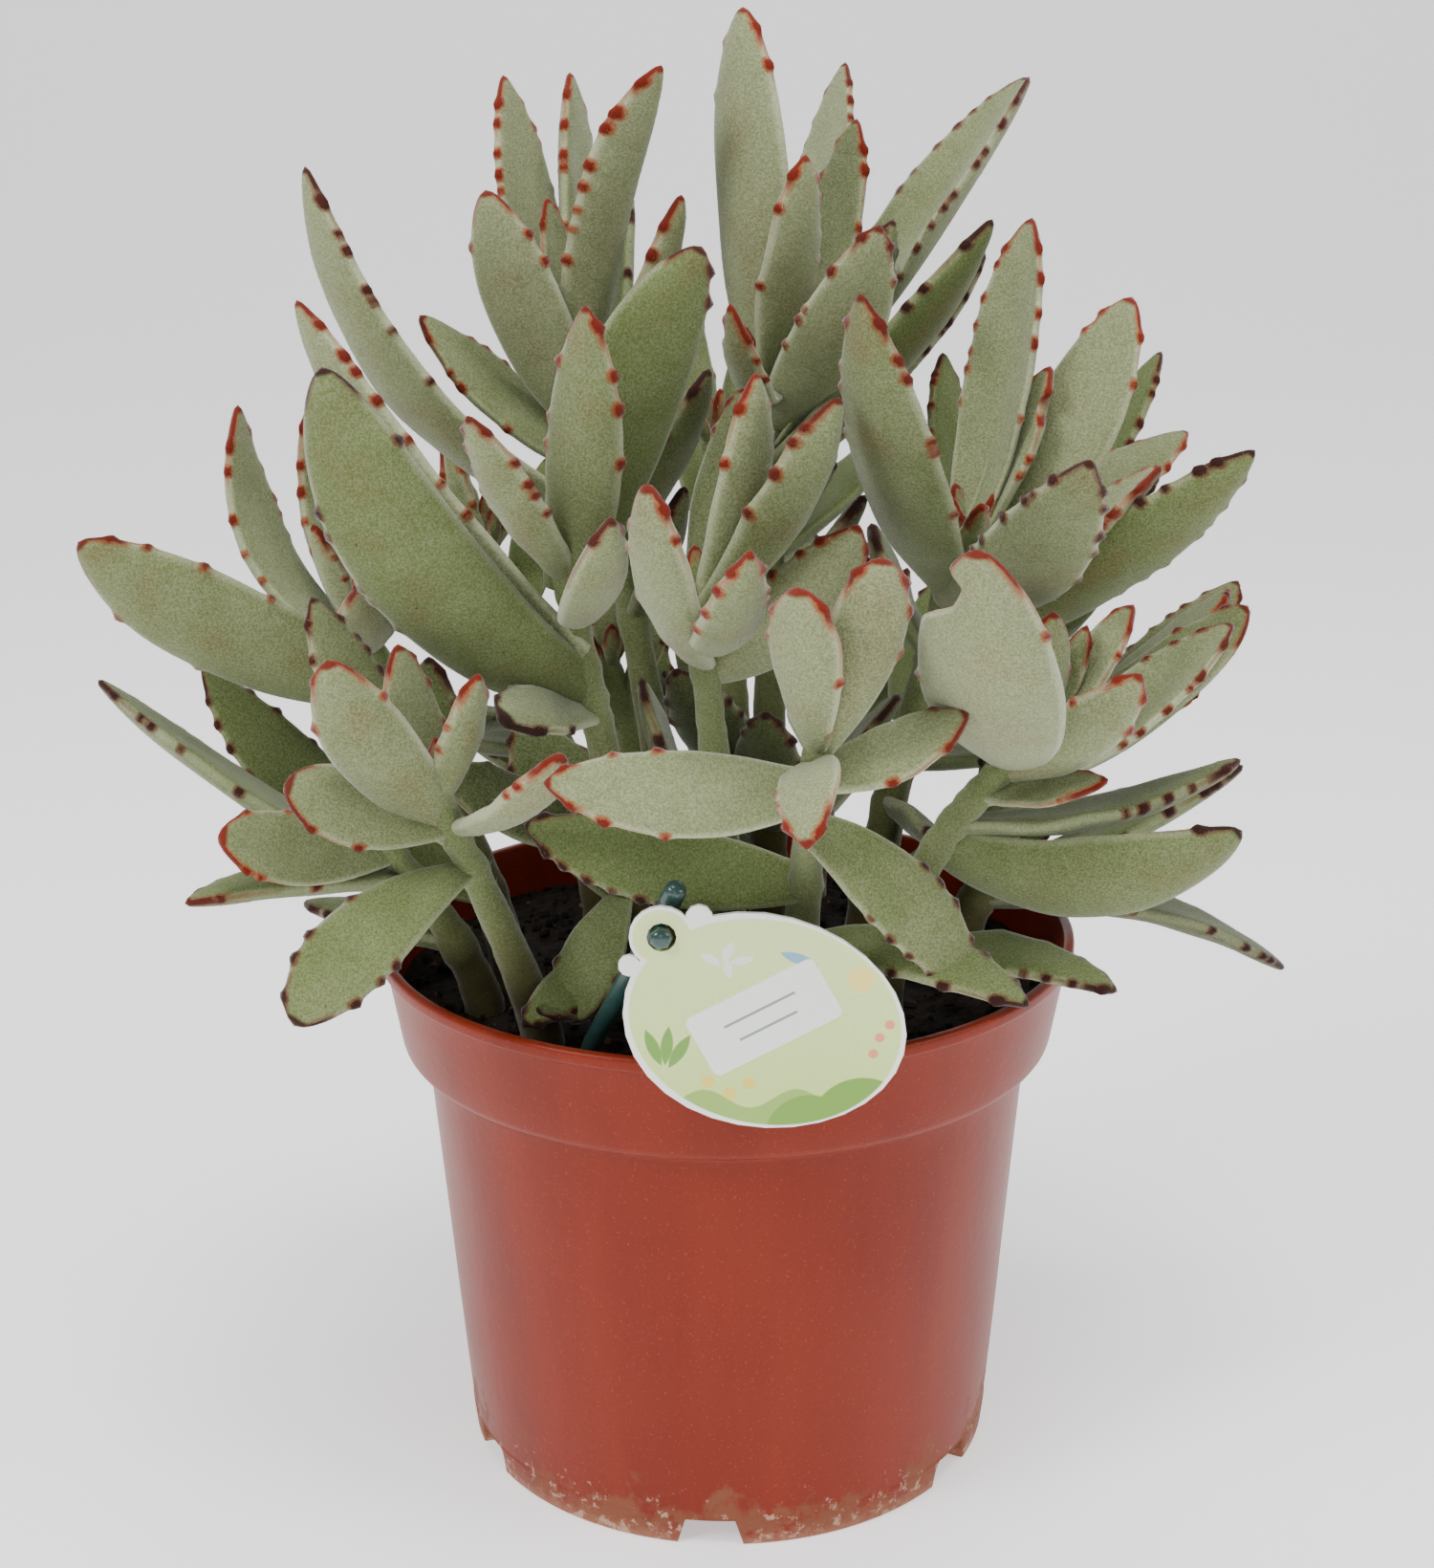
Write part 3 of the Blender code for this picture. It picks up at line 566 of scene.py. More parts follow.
def leaf_frame(leaf, share):
    """Middle line, edge and face directions of a leaf at shares (rows, 1) of its length.

    The line is the quadratic curve 2 s (1 - s) bulge + s^2 ahead.
    """
    across, rise = math.radians(leaf.heading), math.radians(leaf.rise)
    level = np.array((math.cos(across), math.sin(across), 0.0))
    upward = np.array((0.0, 0.0, 1.0))
    ahead = level * math.cos(rise) + upward * math.sin(rise)
    over = upward * math.cos(rise) - level * math.sin(rise)
    bulge = ahead * 0.5 + over * (2 * leaf.arch)
    part = share[..., None]
    middle = 2 * part * (1 - part) * bulge + part ** 2 * ahead
    along = unit((2 - 4 * part) * bulge + 2 * part * ahead)
    face = unit(over - along * (along @ over)[..., None])
    edge = np.cross(along, face)
    c, s = math.cos(math.radians(leaf.roll)), math.sin(math.radians(leaf.roll))
    rolled = [side * c - np.cross(along, side) * s for side in (face, edge)]
    return middle, *rolled, ahead


def leaf_surface(leaf, base, dice, age, tone_and_shade, bite=None):
    """Rings of a leaf (rows, columns, 3) in mm, its two end points, and the numbers of both.

    Across the leaf a point lies at cos(turn) of the half width and sin(turn) of the
    half thickness; a bite is a share, a side, a depth and a width.
    """
    form = FORMS[leaf.form]
    rows = int(np.clip(ROWS_A_MM * leaf.length, *LEAF_ROWS))
    columns = LEAF_COLUMNS if leaf.length > BUD_LENGTH else BUD_COLUMNS
    even = np.linspace(0, 1, rows + 2)[1:-1]
    share = (0.8 * even ** 0.9 + 0.1 * (1 - np.cos(math.pi * even)))[:, None]
    turn = np.linspace(0, TAU, columns, endpoint=False)[None, :]
    middle, face, edge, ahead = leaf_frame(leaf, share)
    side, lift = np.cos(turn) * np.ones_like(share), np.sin(turn) * np.ones_like(share)
    rim = np.abs(side)
    outline = half_outline(share, form)
    half = outline * leaf.width / 2
    if bite:
        place, bitten, deep, wide = bite
        nick = np.exp(-((share - place) * leaf.length / wide) ** 4)
        half = half - deep * nick * (side * bitten > 0)
    thickness = min(form.thickness, 0.3 * leaf.width + 1.2)

    places, sides, sizes = leaf_teeth(leaf, dice)
    offset = (share[..., None] - places) * leaf.length
    own = side[..., None] * sides > 0
    bumps = (np.exp(-(offset / TOOTH_LENGTH) ** 2) * sizes * own).max(-1)
    push = TOOTH_HEIGHT * bumps * rim ** 5
    wave = dice.uniform(0.4, 1.0) * np.sin(TAU * (share * dice.uniform(1.2, 2.6) + dice.uniform()))
    wave = wave * np.where(side > 0, 1.0, dice.uniform(-1, 1))
    groove = np.exp(-(side / GROOVE_WIDTH) ** 2) * np.clip(lift, 0, 1) * np.clip(1 - share, 0, 1)
    dents = share * dice.uniform(2, 4) + side * dice.uniform(0.4, 0.9) + dice.uniform()
    width = side * half + np.sign(side) * push
    height = (lift * thickness / 2 * np.sqrt(outline) + form.cup * half * side ** 2
              + RIM_WAVE * half * side ** 2 * wave - GROOVE_DEPTH * groove * np.sqrt(outline)
              + DENT_DEPTH * np.sin(TAU * dents) * outline)
    points = base + middle * leaf.length + edge * width[..., None] + face * height[..., None]

    margin = (1 - rim) * half + 0.5 * np.abs(lift) * thickness / 2
    away = np.hypot(offset, margin[..., None] - SPOT_INSET) - sizes
    spot = np.minimum(np.where(own & (sizes > 0), away, FAR).min(-1), FAR)
    from_tip = (1 - share) * leaf.length
    numbers = np.broadcast_arrays(margin, spot, from_tip, share, 0.5 - 0.5 * lift, age, tone_and_shade)
    last = np.array([(2.0, FAR, leaf.length, 0.0, 0.5, age, tone_and_shade),
                     (0.0, FAR, 0.0, 1.0, 0.5, age, tone_and_shade)])
    ends = np.stack([base, base + ahead * leaf.length])
    return points, ends, np.stack(numbers, -1), last


sample = leaf_surface(STEMS["leafy_stem_a"].leaves[0], np.zeros(3), np.random.default_rng(1),
                      age=0.5, tone_and_shade=0.5)
print("leaf grid:", sample[0].shape, "reach:", sample[0].reshape(-1, 3).max(0).round(1))

# %% [markdown]
# ## The stem as a surface
# A stem is a tube along its middle line. It thins towards the top, swells at each leaf
# and is a little uneven, and it ends in a blunt bud between the youngest leaves.

# %% stem surface
STEM_ROWS = 56
STEM_COLUMNS = 14
STEM_BOTTOM = 74.0
NODE_SWELL, NODE_REACH = 0.5, 1.6
BARK_DEPTH, BARK_SIZE = 0.18, 2.4
TIP_RISE = 1.2


def stem_surface(plan, dice):
    """Rings along the stem's middle line, with a radius that tapers and swells at the nodes."""
    heights = np.linspace(STEM_BOTTOM, plan.top[2], STEM_ROWS)
    middle = stem_points(plan, heights)
    along = unit(np.gradient(middle, axis=0))
    side = unit(np.cross(along, np.array((0.0, 1.0, 0.0))))
    depth = np.cross(side, along)
    share = np.clip((heights - SOIL_LEVEL) / (plan.top[2] - SOIL_LEVEL), 0, 1)
    radius = STEM_RADIUS + (STEM_TIP_RADIUS - STEM_RADIUS) * share
    nodes = np.array([leaf.node for leaf in plan.leaves])
    near = np.exp(-((heights[:, None] - nodes) / NODE_REACH) ** 2).max(1)
    swell = NODE_SWELL * near * (share > 0.05)
    turn = np.linspace(0, TAU, STEM_COLUMNS, endpoint=False)
    places = np.broadcast_arrays(3 * np.cos(turn)[None], 3 * np.sin(turn)[None], heights[:, None])
    rough = BARK_DEPTH * lumps(np.stack(places, -1), BARK_SIZE, int(dice.integers(9999)))
    above = (share > 0.03)[:, None]
    girth = (radius + swell)[:, None] + rough * above - 0.15
    points = (middle[:, None] + side[:, None] * (np.cos(turn)[:, None] * girth[..., None])
              + depth[:, None] * (np.sin(turn)[:, None] * girth[..., None]))
    ends = np.stack([middle[0], middle[-1] + along[-1] * TIP_RISE])
    age = (1.6 - 0.8 * share)[:, None]
    # The girth is here only for its shape, which the other numbers take.
    numbers = np.stack(np.broadcast_arrays(9.0, FAR, 60.0, 0.0, 0.5, age, 0.5, girth)[:-1], -1)
    return points, ends, numbers, numbers[[0, -1], 0]


print("stem grid:", stem_surface(STEMS["leafy_stem_a"], np.random.default_rng(1))[0].shape)

# %% [markdown]
# ## Felt
# The grey bloom of this plant is a coat of short hairs. They are made as real
# geometry, one thin triangle each, rooted at random over the surface by area, leaning
# towards the leaf's tip. Against the light they give the soft pale outline that no
# flat shader gives.

# %% felt hairs
HAIRS_A_MM2 = 3.1
HAIR_LENGTH = (0.5, 1.15)
HAIR_WIDTH = 0.11
HAIR_LEAN = 0.55
HAIR_SPREAD = 0.45
HAIR_SINK = 0.05
HAIR_PALENESS = (0.35, 0.35, 1.0)


def grow_felt(points, numbers, dice):
    """Hairs on a grid of rings: quads drawn by area, a root inside each, one triangle a hair."""
    after = np.roll(points, -1, axis=1)
    corner, beside = points[:-1], after[:-1]
    ahead, beyond = points[1:], after[1:]
    normal = np.cross(beside - corner, ahead - corner)
    area = np.linalg.norm(normal, axis=-1)
    count = int(area.sum() * HAIRS_A_MM2)
    chances = np.cumsum(area.ravel()) / area.sum()
    cells = np.minimum(np.searchsorted(chances, dice.uniform(size=count)), area.size - 1)
    u, v = dice.uniform(size=(2, count, 1))
    pick = [part.reshape(-1, 3)[cells] for part in (corner, beside, ahead, beyond)]
    root = (1 - u) * ((1 - v) * pick[0] + v * pick[1]) + u * ((1 - v) * pick[2] + v * pick[3])
    out = unit(normal.reshape(-1, 3)[cells])
    tipward = unit(pick[2] - pick[0])
    way = unit(out + HAIR_LEAN * tipward + HAIR_SPREAD * dice.normal(size=(count, 3)))
    length = dice.uniform(*HAIR_LENGTH, size=(count, 1))
    across = unit(np.cross(way, dice.normal(size=(count, 3)))) * HAIR_WIDTH / 2
    sunk = root - HAIR_SINK * out
    corners = np.stack([sunk - across, sunk + across, root + way * length], 1)
    near, far = (grid.reshape(-1, len(FIELDS))[cells] for grid in (numbers[:-1], numbers[1:]))
    return corners.reshape(-1, 3), np.repeat(near + (far - near) * u, 3, axis=0)


corners = grow_felt(sample[0], sample[2], np.random.default_rng(1))[0]
print("hairs on the first leaf:", len(corners) // 3)

# %% [markdown]
# ## The felt's colours
# One material serves leaves, stems and hairs. The ground is a grey green, greener on
# old and inner leaves, on inner ones partly as painted shade, and it is mottled like
# pressed felt. The lowest, innermost leaves are darkened to a deep green as painted
# shade. The stems' dark brown is partly their own colour and partly painted shade.
# Patches on the undersides are darkened to a dull brown as painted shade, and a pale
# band along each rim is a painted rim highlight. Rust spots sit on the teeth, a thin
# rust line follows the rim near the tip, and both turn from orange on young leaves to
# dark maroon on old ones. Hairs are paler than the skin below, and palest near the rims
# as a painted rim highlight.

# %% felt material
FELT_PALE = (176, 180, 146)
FELT_SAGE = (120, 128, 86)
FELT_GREEN = (80, 96, 40)
# a deep green painted as shade on the innermost leaves
FELT_PAINTED_SHADE = (54, 62, 26)
# the stems' own brown, made darker as painted shade
STEM_BROWN_AND_SHADE = (66, 56, 28)
# dull brown of the painted shade on the leaves' undersides
UNDERSIDE_SHADE_BROWN = (120, 84, 58)
SPOT_YOUNG = (112, 26, 10)
SPOT_OLD = (44, 16, 13)
HALO_YOUNG = (150, 62, 24)
HALO_OLD = (92, 50, 34)
HAIR_PALE = (228, 230, 204)
SCAR = (96, 62, 34)
SCARS = (((-88.0, -22.0, 176.0), 7.0), ((70.0, -28.0, 168.0), 6.0), ((96.0, -46.0, 128.0), 7.0))
DUST = (48, 34, 24)
FINE_SCALE, MOTTLE_SCALE, PATCH_SCALE, DUST_SCALE = 2700, 900, 110, 1300


def felt_material():
    """Felted leaf skin and its hairs, coloured by the numbers on their points."""
    material, wire, place = new_material("leaf_felt_fine")
    names = ("age", "tone_and_shade", "margin", "spot", "from_tip", "under", "along", "hair")
    age, tone_and_shade, margin, spot, from_tip, under, along, hair = map(wire.attribute, names)
    fine = wire.noise(place, FINE_SCALE, 3, 0.6)
    mottle = wire.noise(place, MOTTLE_SCALE, 4, 0.7)
    patch = wire.noise(place, PATCH_SCALE, 3)
    green = (tone_and_shade * 0.95 + age * 0.12 + (patch - 0.5) * 0.7 + (1 - along) * 0.12).ease(-0.05, 1.1)
    # pale felt speckle, which is the felt's own, plus a painted rim highlight: a pale band along
    # each leaf's edge
    felt_speckle_and_rim_highlight = 0.06 + fine.ease(0.34, 0.68) * 0.5 + margin.ease(1.7, 0.2) * 0.62
    stem = (age - 1).ease(0.0, 0.5)
    colour = wire.paint(
        FELT_SAGE,
        (green, FELT_GREEN),
        # painted shade: patches on the leaves' undersides darkened to a dull brown
        ((patch * under).ease(0.42, 0.72) * 0.35, UNDERSIDE_SHADE_BROWN),
        # painted shade: leaves whose tone runs above 1, the lowest and innermost, darken to a deep
        # green
        ((tone_and_shade - 1.0).ease(0.0, 0.4) * 0.8, FELT_PAINTED_SHADE),
        (felt_speckle_and_rim_highlight * (1.1 - green * 0.7), FELT_PALE),
        (mottle.ease(0.45, 0.75) * 0.16, FELT_GREEN),
        # the stems' own woody brown, made darker as painted shade inside the plant
        (stem * 0.92, STEM_BROWN_AND_SHADE))
    for centre, reach in SCARS:
        away = wire.node("ShaderNodeVectorMath", {0: place, 1: tuple(v * MM for v in centre)},
                         out=1, operation="DISTANCE") / MM
        colour = wire.mix((away + mottle * 9).ease(reach + 3, reach - 2) * 0.6, colour, SCAR)
    old = (age + (tone_and_shade - 0.5) * 0.4).ease(0.0, 0.6)
    core, halo = wire.mix(old, SPOT_YOUNG, SPOT_OLD), wire.mix(old, HALO_YOUNG, HALO_OLD)
    uneven = (mottle - 0.5) * 0.9
    ragged = margin + uneven * 0.7
    reach = 5.0 + (patch - 0.5) * 9
    cap = ragged.ease(1.15, 0.55) * (from_tip - reach).ease(1.2, -1.2)
    fringe = ragged.ease(1.9, 1.0) * (from_tip - reach).ease(2.4, 0.0) * 0.8
    thread = (margin + uneven * 0.6).ease(0.7, 0.2) * (from_tip - reach * 2.4).ease(5.0, -5.0)
    inner = (spot + uneven).ease(0.05, -0.35).most(cap).most(from_tip.ease(1.4, 0.7))
    outer = (spot + uneven).ease(0.6, 0.0).most(thread * 0.7).most(fringe)
    specks = wire.noise(place, DUST_SCALE, 1).ease(0.76, 0.79) * tone_and_shade.ease(0.3, 0.8)
    colour = wire.paint(colour, (outer * 0.8, halo), (inner * 0.95, core), (specks * 0.8, DUST))
    # hair colour: pale like the felt, palest near the rims as a painted rim highlight
    pale = wire.mix(0.72 + margin.ease(2.0, 0.3) * 0.28 - stem * 0.4, colour, HAIR_PALE)
    shown = hair * (1 - inner * 0.9) * (1 - outer * 0.6) * (1 - green * 0.45)
    return finish(material, wire, base_color=wire.mix(shown, colour, pale), roughness=0.92,
                  specular_ior_level=0.15, sheen_weight=0.4, sheen_roughness=0.4,
                  normal=wire.bump(fine + mottle * 0.6, 0.55, 0.0003))


FELT = felt_material()
print("felt nodes:", len(FELT.node_tree.nodes))

# %% [markdown]
# ## Growing the leafy stems
# Each leafy stem becomes two pieces: its skin, which stands for the CAD node, and the
# coat of hairs on it. A few tiny bud leaves close the top of each stem.

# %% leafy stems
BUD_LEAVES = 4
FIRST_SEED = 100
AGEING = 45
# A leaf's tone runs from grey to green; values above 1 are painted shade, a deep dark green.
TONES_AND_SHADE = {
    "leafy_stem_a": (0.72, 0.85, 0.55, 0.4, 0.3, 0.15, 0.0, 0.6, 0.8),
    "leafy_stem_b": (0.2, 0.0, 0.1, 0.2, 0.1, 0.5, 0.4),
    "leafy_stem_c": (0.0, 0.1, 0.35, 0.0, 0.2, 0.5, 0.4),
    "leafy_stem_d": (0.3, 0.5, 0.4, 0.1, 0.2, 0.5),
    "leafy_stem_e": (0.62, 0.2, 0.1, 0.45, 0.2, 0.75, 0.95, 0.9),
    "leafy_stem_f": (0.0, 0.1, 0.25, 0.2, 0.1, 0.55, 1.15, 0.75),
    "leafy_stem_g": (0.3, 0.2, 0.4, 0.4, 0.2, 0.7, 0.3, 0.65, 0.0, 0.8),
    "leafy_stem_h": (0.4, 0.3, 0.5, 0.4, 0.45, 0.1, 0.7),
    "leafy_stem_i": (0.55, 0.3, 0.5, 0.2, 0.3, 1.2),
}


def bud_leaves(plan, dice):
    """Tiny upright leaves round the stem's top."""
    return [Leaf(plan.top[2] - 1.0, 360 / BUD_LEAVES * index + dice.uniform(0, 60),
                 dice.uniform(55, 80), dice.uniform(9, 13), dice.uniform(3.2, 4.2),
                 arch=-0.08, roll=0, form="young") for index in range(BUD_LEAVES)]


def grow_stem(name, plan, seed):
    """Skin and felt of one leafy stem, built from its stem's and leaves' grids."""
    dice = np.random.default_rng(seed)
    grids = [stem_surface(plan, dice)]
    tones_and_shade = TONES_AND_SHADE.get(name, ())
    for index, leaf in enumerate([*plan.leaves, *bud_leaves(plan, dice)]):
        drop = (plan.top[2] - leaf.node) / AGEING
        age = float(np.clip(drop + dice.uniform(-0.1, 0.3), 0, 1))
        if index < len(tones_and_shade):
            tone_and_shade = tones_and_shade[index]
        else:
            # lower leaves get a higher tone: greener, and above 1 darkened as painted shade
            tone_and_shade = dice.uniform(0.2, 0.7) + 0.9 * float(np.clip(drop, 0, 1))
        base = stem_points(plan, np.array([leaf.node]))[0]
        grids.append(leaf_surface(leaf, base, dice, age, tone_and_shade, BITES.get((name, index))))
    coats = [grow_felt(grid[0], grid[2], dice) for grid in grids]
    numbers = np.concatenate([part.reshape(-1, len(FIELDS)) for grid in grids for part in grid[2:]])
    values = {**dict(zip(FIELDS, numbers.T)), "hair": np.zeros(len(numbers))}
    skin = make_solid(name + "_skin", [grid[:2] for grid in grids], values)
    dress(skin, FELT, "leaf_felt", name)
    corners, numbers = (np.concatenate(parts) for parts in zip(*coats))
    triangles = np.arange(len(corners)).reshape(-1, 3)
    values = {**dict(zip(FIELDS, numbers.T)), "hair": np.tile(HAIR_PALENESS, len(triangles))}
    felt = make_mesh(name + "_hairs", corners, triangles, values=values, smooth=False)
    dress(felt, FELT, "leaf_felt")
    return len(skin.data.polygons), len(felt.data.polygons)


totals = np.array([grow_stem(name, plan, FIRST_SEED + index)
                   for index, (name, plan) in enumerate(STEMS.items())])
print("skin faces:", totals[:, 0].sum(), "hairs:", totals[:, 1].sum(), "most:", totals[:, 1].max())

# %% [markdown]
# ## The pot
# A thin-walled moulded pot: a rolled lip, a band, a step under it, a tapering wall and
# a foot ring with six notches. It is a turned profile, so it is a grid of profile
# points by angle. The notches lift the foot's low points where the angle falls in one.

# %% pot surface
POT_HEIGHT, RIM_RADIUS, RIM_LIP = 101.0, 65.0, 2.6
BAND_BOTTOM, BAND_BOTTOM_RADIUS = 81.8, 60.85
STEP_RADIUS, STEP_DROP, BASE_RADIUS = 56.7, 1.6, 50.3
WALL, FOOT_WIDTH = 1.3, 3.2
FLOOR_BOTTOM, FLOOR_TOP = 6.0, 7.4
NOTCHES = np.radians(-94.0 + np.arange(6) * 360 / 6)
NOTCH_HEIGHT, NOTCH_WIDTH, NOTCH_FLARE = 5.0, 9.0, 3.0
POT_COLUMNS, POT_SPAN = 216, 4.2
POT_WOBBLE, WOBBLE_SIZE, WOBBLE_SEED = 0.12, 24.0, 7
DRAIN_RADIUS, DRAIN_CIRCLE = 4.0, 32.0


def wall_radius(height):
    """Outer radius of the pot's wall at a height."""
    if height >= BAND_BOTTOM:
        share = (height - BAND_BOTTOM) / (POT_HEIGHT - BAND_BOTTOM)
        return BAND_BOTTOM_RADIUS + (RIM_RADIUS - 0.6 - BAND_BOTTOM_RADIUS) * share
    return BASE_RADIUS + (STEP_RADIUS - BASE_RADIUS) * height / (BAND_BOTTOM - STEP_DROP)


def bow(start, knee, end, share):
    """The quadratic curve from start to end that is drawn towards the knee."""
    return (1 - share) ** 2 * start + 2 * share * (1 - share) * knee + share ** 2 * end


def rounded(corners, steps=5):
    """A profile whose corners (radius, height, cut) become quadratic curves of that cut."""
    places = np.array([corner[:2] for corner in corners], float)
    line = [places[:1]]
    for before, here, after, corner in zip(places, places[1:], places[2:], corners[1:-1]):
        cuts = [min(0.45, corner[2] / np.linalg.norm(end - here)) for end in (before, after)]
        start, end = here + (before - here) * cuts[0], here + (after - here) * cuts[1]
        share = np.linspace(0, 1, steps)[:, None]
        line.append(bow(start, here, end, share))
    return np.concatenate([*line, places[-1:]])


def subdivided(profile, longest):
    """The same profile with no span longer than a length."""
    parts = []
    for start, end in zip(profile, profile[1:]):
        count = max(1, int(np.ceil(np.linalg.norm(end - start) / longest)))
        parts.append(start + (end - start) * np.arange(count)[:, None] / count)
    return np.concatenate([*parts, profile[-1:]])


def turned(profile, angles):
    """Points of a profile turned about Z; its first and last points lie on the axis."""
    radius, height = profile[1:-1, 0][:, None], profile[1:-1, 1][:, None]
    rings = np.broadcast_arrays(radius * np.cos(angles), radius * np.sin(angles), height)
    return np.stack(rings, -1), profile[[0, -1]][:, [0, 0, 1]]


def pot_piece():
    """The turned pot with its notches lifted and its drain holes cut."""
    lip_foot, body_top = POT_HEIGHT - RIM_LIP, BAND_BOTTOM - STEP_DROP
    foot_inner = BASE_RADIUS - FOOT_WIDTH
    profile = rounded([
        (0, FLOOR_TOP, 0),
        (wall_radius(FLOOR_TOP) - WALL, FLOOR_TOP, 1.5),
        (STEP_RADIUS - WALL, body_top - 0.4, 0.6),
        (wall_radius(BAND_BOTTOM + 0.8) - WALL, BAND_BOTTOM + 0.8, 1.0),
        (wall_radius(POT_HEIGHT) - WALL, POT_HEIGHT - 0.1, 0.5),
        (RIM_RADIUS, POT_HEIGHT, 0.9),
        (RIM_RADIUS, lip_foot + 0.2, 0.5),
        (wall_radius(lip_foot), lip_foot, 0.4),
        (wall_radius(BAND_BOTTOM + 0.8), BAND_BOTTOM - 0.4, 1.6),
        (STEP_RADIUS, body_top, 1.4),
        (wall_radius(5.8), 5.8, 0.25),
        (wall_radius(5.3) + 0.16, 5.3, 0.2),
        (BASE_RADIUS, 0, 0.6),
        (foot_inner, 0, 0.5),
        (foot_inner, FLOOR_BOTTOM, 0.6),
        (0, FLOOR_BOTTOM, 0)])
    profile = subdivided(profile, POT_SPAN)
    half_top = NOTCH_WIDTH / 2 / BASE_RADIUS
    half_low = (NOTCH_WIDTH + NOTCH_FLARE) / 2 / BASE_RADIUS
    flank = half_low - 0.002
    edges = np.array([-half_low, -flank, -half_top, half_top, flank, half_low])
    angles = np.sort(np.concatenate([np.linspace(0, TAU, POT_COLUMNS, endpoint=False),
                                     (NOTCHES[:, None] + edges).ravel() % TAU]))
    angles = angles[np.diff(angles, append=angles[0] + TAU) > 0.0008]
    rings, ends = turned(profile, angles)
    away = np.abs((angles[:, None] - NOTCHES + math.pi) % TAU - math.pi).min(1)
    lift = NOTCH_HEIGHT * np.clip((half_low - away) / (half_low - half_top), 0, 1)
    radius = np.linalg.norm(rings[..., :2], axis=-1)
    foot = (rings[..., 2] < NOTCH_HEIGHT + 0.4) & (radius > foot_inner - 0.5)
    room = np.clip(rings[..., 2] / (NOTCH_HEIGHT + 0.4), 0, 1)
    rings[..., 2] = np.where(foot, rings[..., 2] + lift * (1 - room), rings[..., 2])
    wobble = POT_WOBBLE * lumps(rings, WOBBLE_SIZE, WOBBLE_SEED) * (rings[..., 2] > 8)
    rings[..., :2] *= (1 + wobble / np.maximum(radius, 20))[..., None]
    return make_solid("pot_shell", [(rings, ends)], turn_over=True)


pot = pot_piece()
print("pot faces:", len(pot.data.polygons))

# %% [markdown]
# The drain holes are cut with one Boolean, because a turned grid has no room for
# round holes off its axis. The cutters go once the cut is applied.


# %% drain holes
def cut_drains(piece):
    """Seven round holes through the pot's floor."""
    cutters = bpy.data.collections.new("drain_cutters")
    bpy.context.scene.collection.children.link(cutters)
    turn = np.linspace(0, TAU, 28, endpoint=False)
    circle = DRAIN_CIRCLE * np.column_stack([np.cos(NOTCHES), np.sin(NOTCHES)])
    low, high = FLOOR_BOTTOM - 2, FLOOR_TOP + 2
    profile = np.array([(0, low), (DRAIN_RADIUS, low), (DRAIN_RADIUS, high), (0, high)])
    rings, ends = turned(profile, turn)
    for place in [(0.0, 0.0), *circle]:
        cutter = make_solid("drain", [(rings + (*place, 0.0), ends + (*place, 0.0))])
        bpy.context.scene.collection.objects.unlink(cutter)
        cutters.objects.link(cutter)
    cut = piece.modifiers.new("Drain", "BOOLEAN")
    cut.operation, cut.solver = "DIFFERENCE", "EXACT"
    cut.operand_type, cut.collection = "COLLECTION", cutters
    bpy.context.view_layer.update()
    graph = bpy.context.evaluated_depsgraph_get()
    piece.data = bpy.data.meshes.new_from_object(piece.evaluated_get(graph))
    piece.modifiers.clear()
    for cutter in list(cutters.objects):
        bpy.data.objects.remove(cutter, do_unlink=True)
    bpy.data.collections.remove(cutters)
    piece.data.set_sharp_from_angle(angle=math.radians(35))


cut_drains(pot)
print("pot faces with drains:", len(pot.data.polygons))

# %% [markdown]
# Terracotta-red plastic: a satin skin with fine specks in its colour, faint upright
# flow marks from the mould, scuffs, and a foot that is dusty with dried water and soil.


# %% pot material
def pot_material():
    """Satin red plastic, scuffed, with dirt and lime low on the wall."""
    material, wire, place = new_material("pot_plastic_fine")
    height = wire.axis(place, 2)
    stretched = wire.node("ShaderNodeMapping", {"Vector": place, "Scale": (1.0, 1.0, 0.12)})
    flow = wire.noise(stretched, 90, 3)
    specks = wire.noise(place, 2200, 2)
    cloud = wire.noise(place, 26, 3)
    low = height.ease(26.0, 0.0)
    grime = (wire.noise(place, 130, 5, 0.65) + low * 0.42).ease(0.78, 0.95)
    lime = (wire.noise(place, 420, 4, 0.7) + low * 0.3).ease(0.83, 0.93)
    foot = (wire.noise(place, 700, 3) * 6 + height).ease(7.0, 2.0)
    red = wire.paint(
        (116, 33, 15),
        (flow.ease(0.3, 0.7), (126, 38, 17)),
        (cloud.ease(0.35, 0.7) * 0.35, (134, 45, 22)),
        (specks.ease(0.62, 0.74) * 0.4, (176, 86, 58)),
        (specks.ease(0.36, 0.26) * 0.4, (102, 28, 14)),
        (grime * 0.55, (126, 88, 62)),
        (lime * 0.6, (206, 176, 156)),
        (foot * 0.45, (176, 128, 104)))
    dull = grime * 0.25 + lime * 0.25 + (cloud - 0.5) * 0.14 + specks * 0.08 + 0.32
    relief = specks + wire.noise(place, 500, 2) * 2 + grime
    return finish(material, wire, base_color=red, roughness=dull, specular_ior_level=0.2,
                  normal=wire.bump(relief, 0.12, 0.0002))


dress(pot, pot_material(), "pot_plastic", "pot")
print("pot box:", [round(v * 1000) for v in pot.dimensions])

# %% [markdown]
# ## The peat
# The fill is a turned block whose top is a field of lumps, low by the wall. Loose
# crumbs and a few pale grains lie on it.

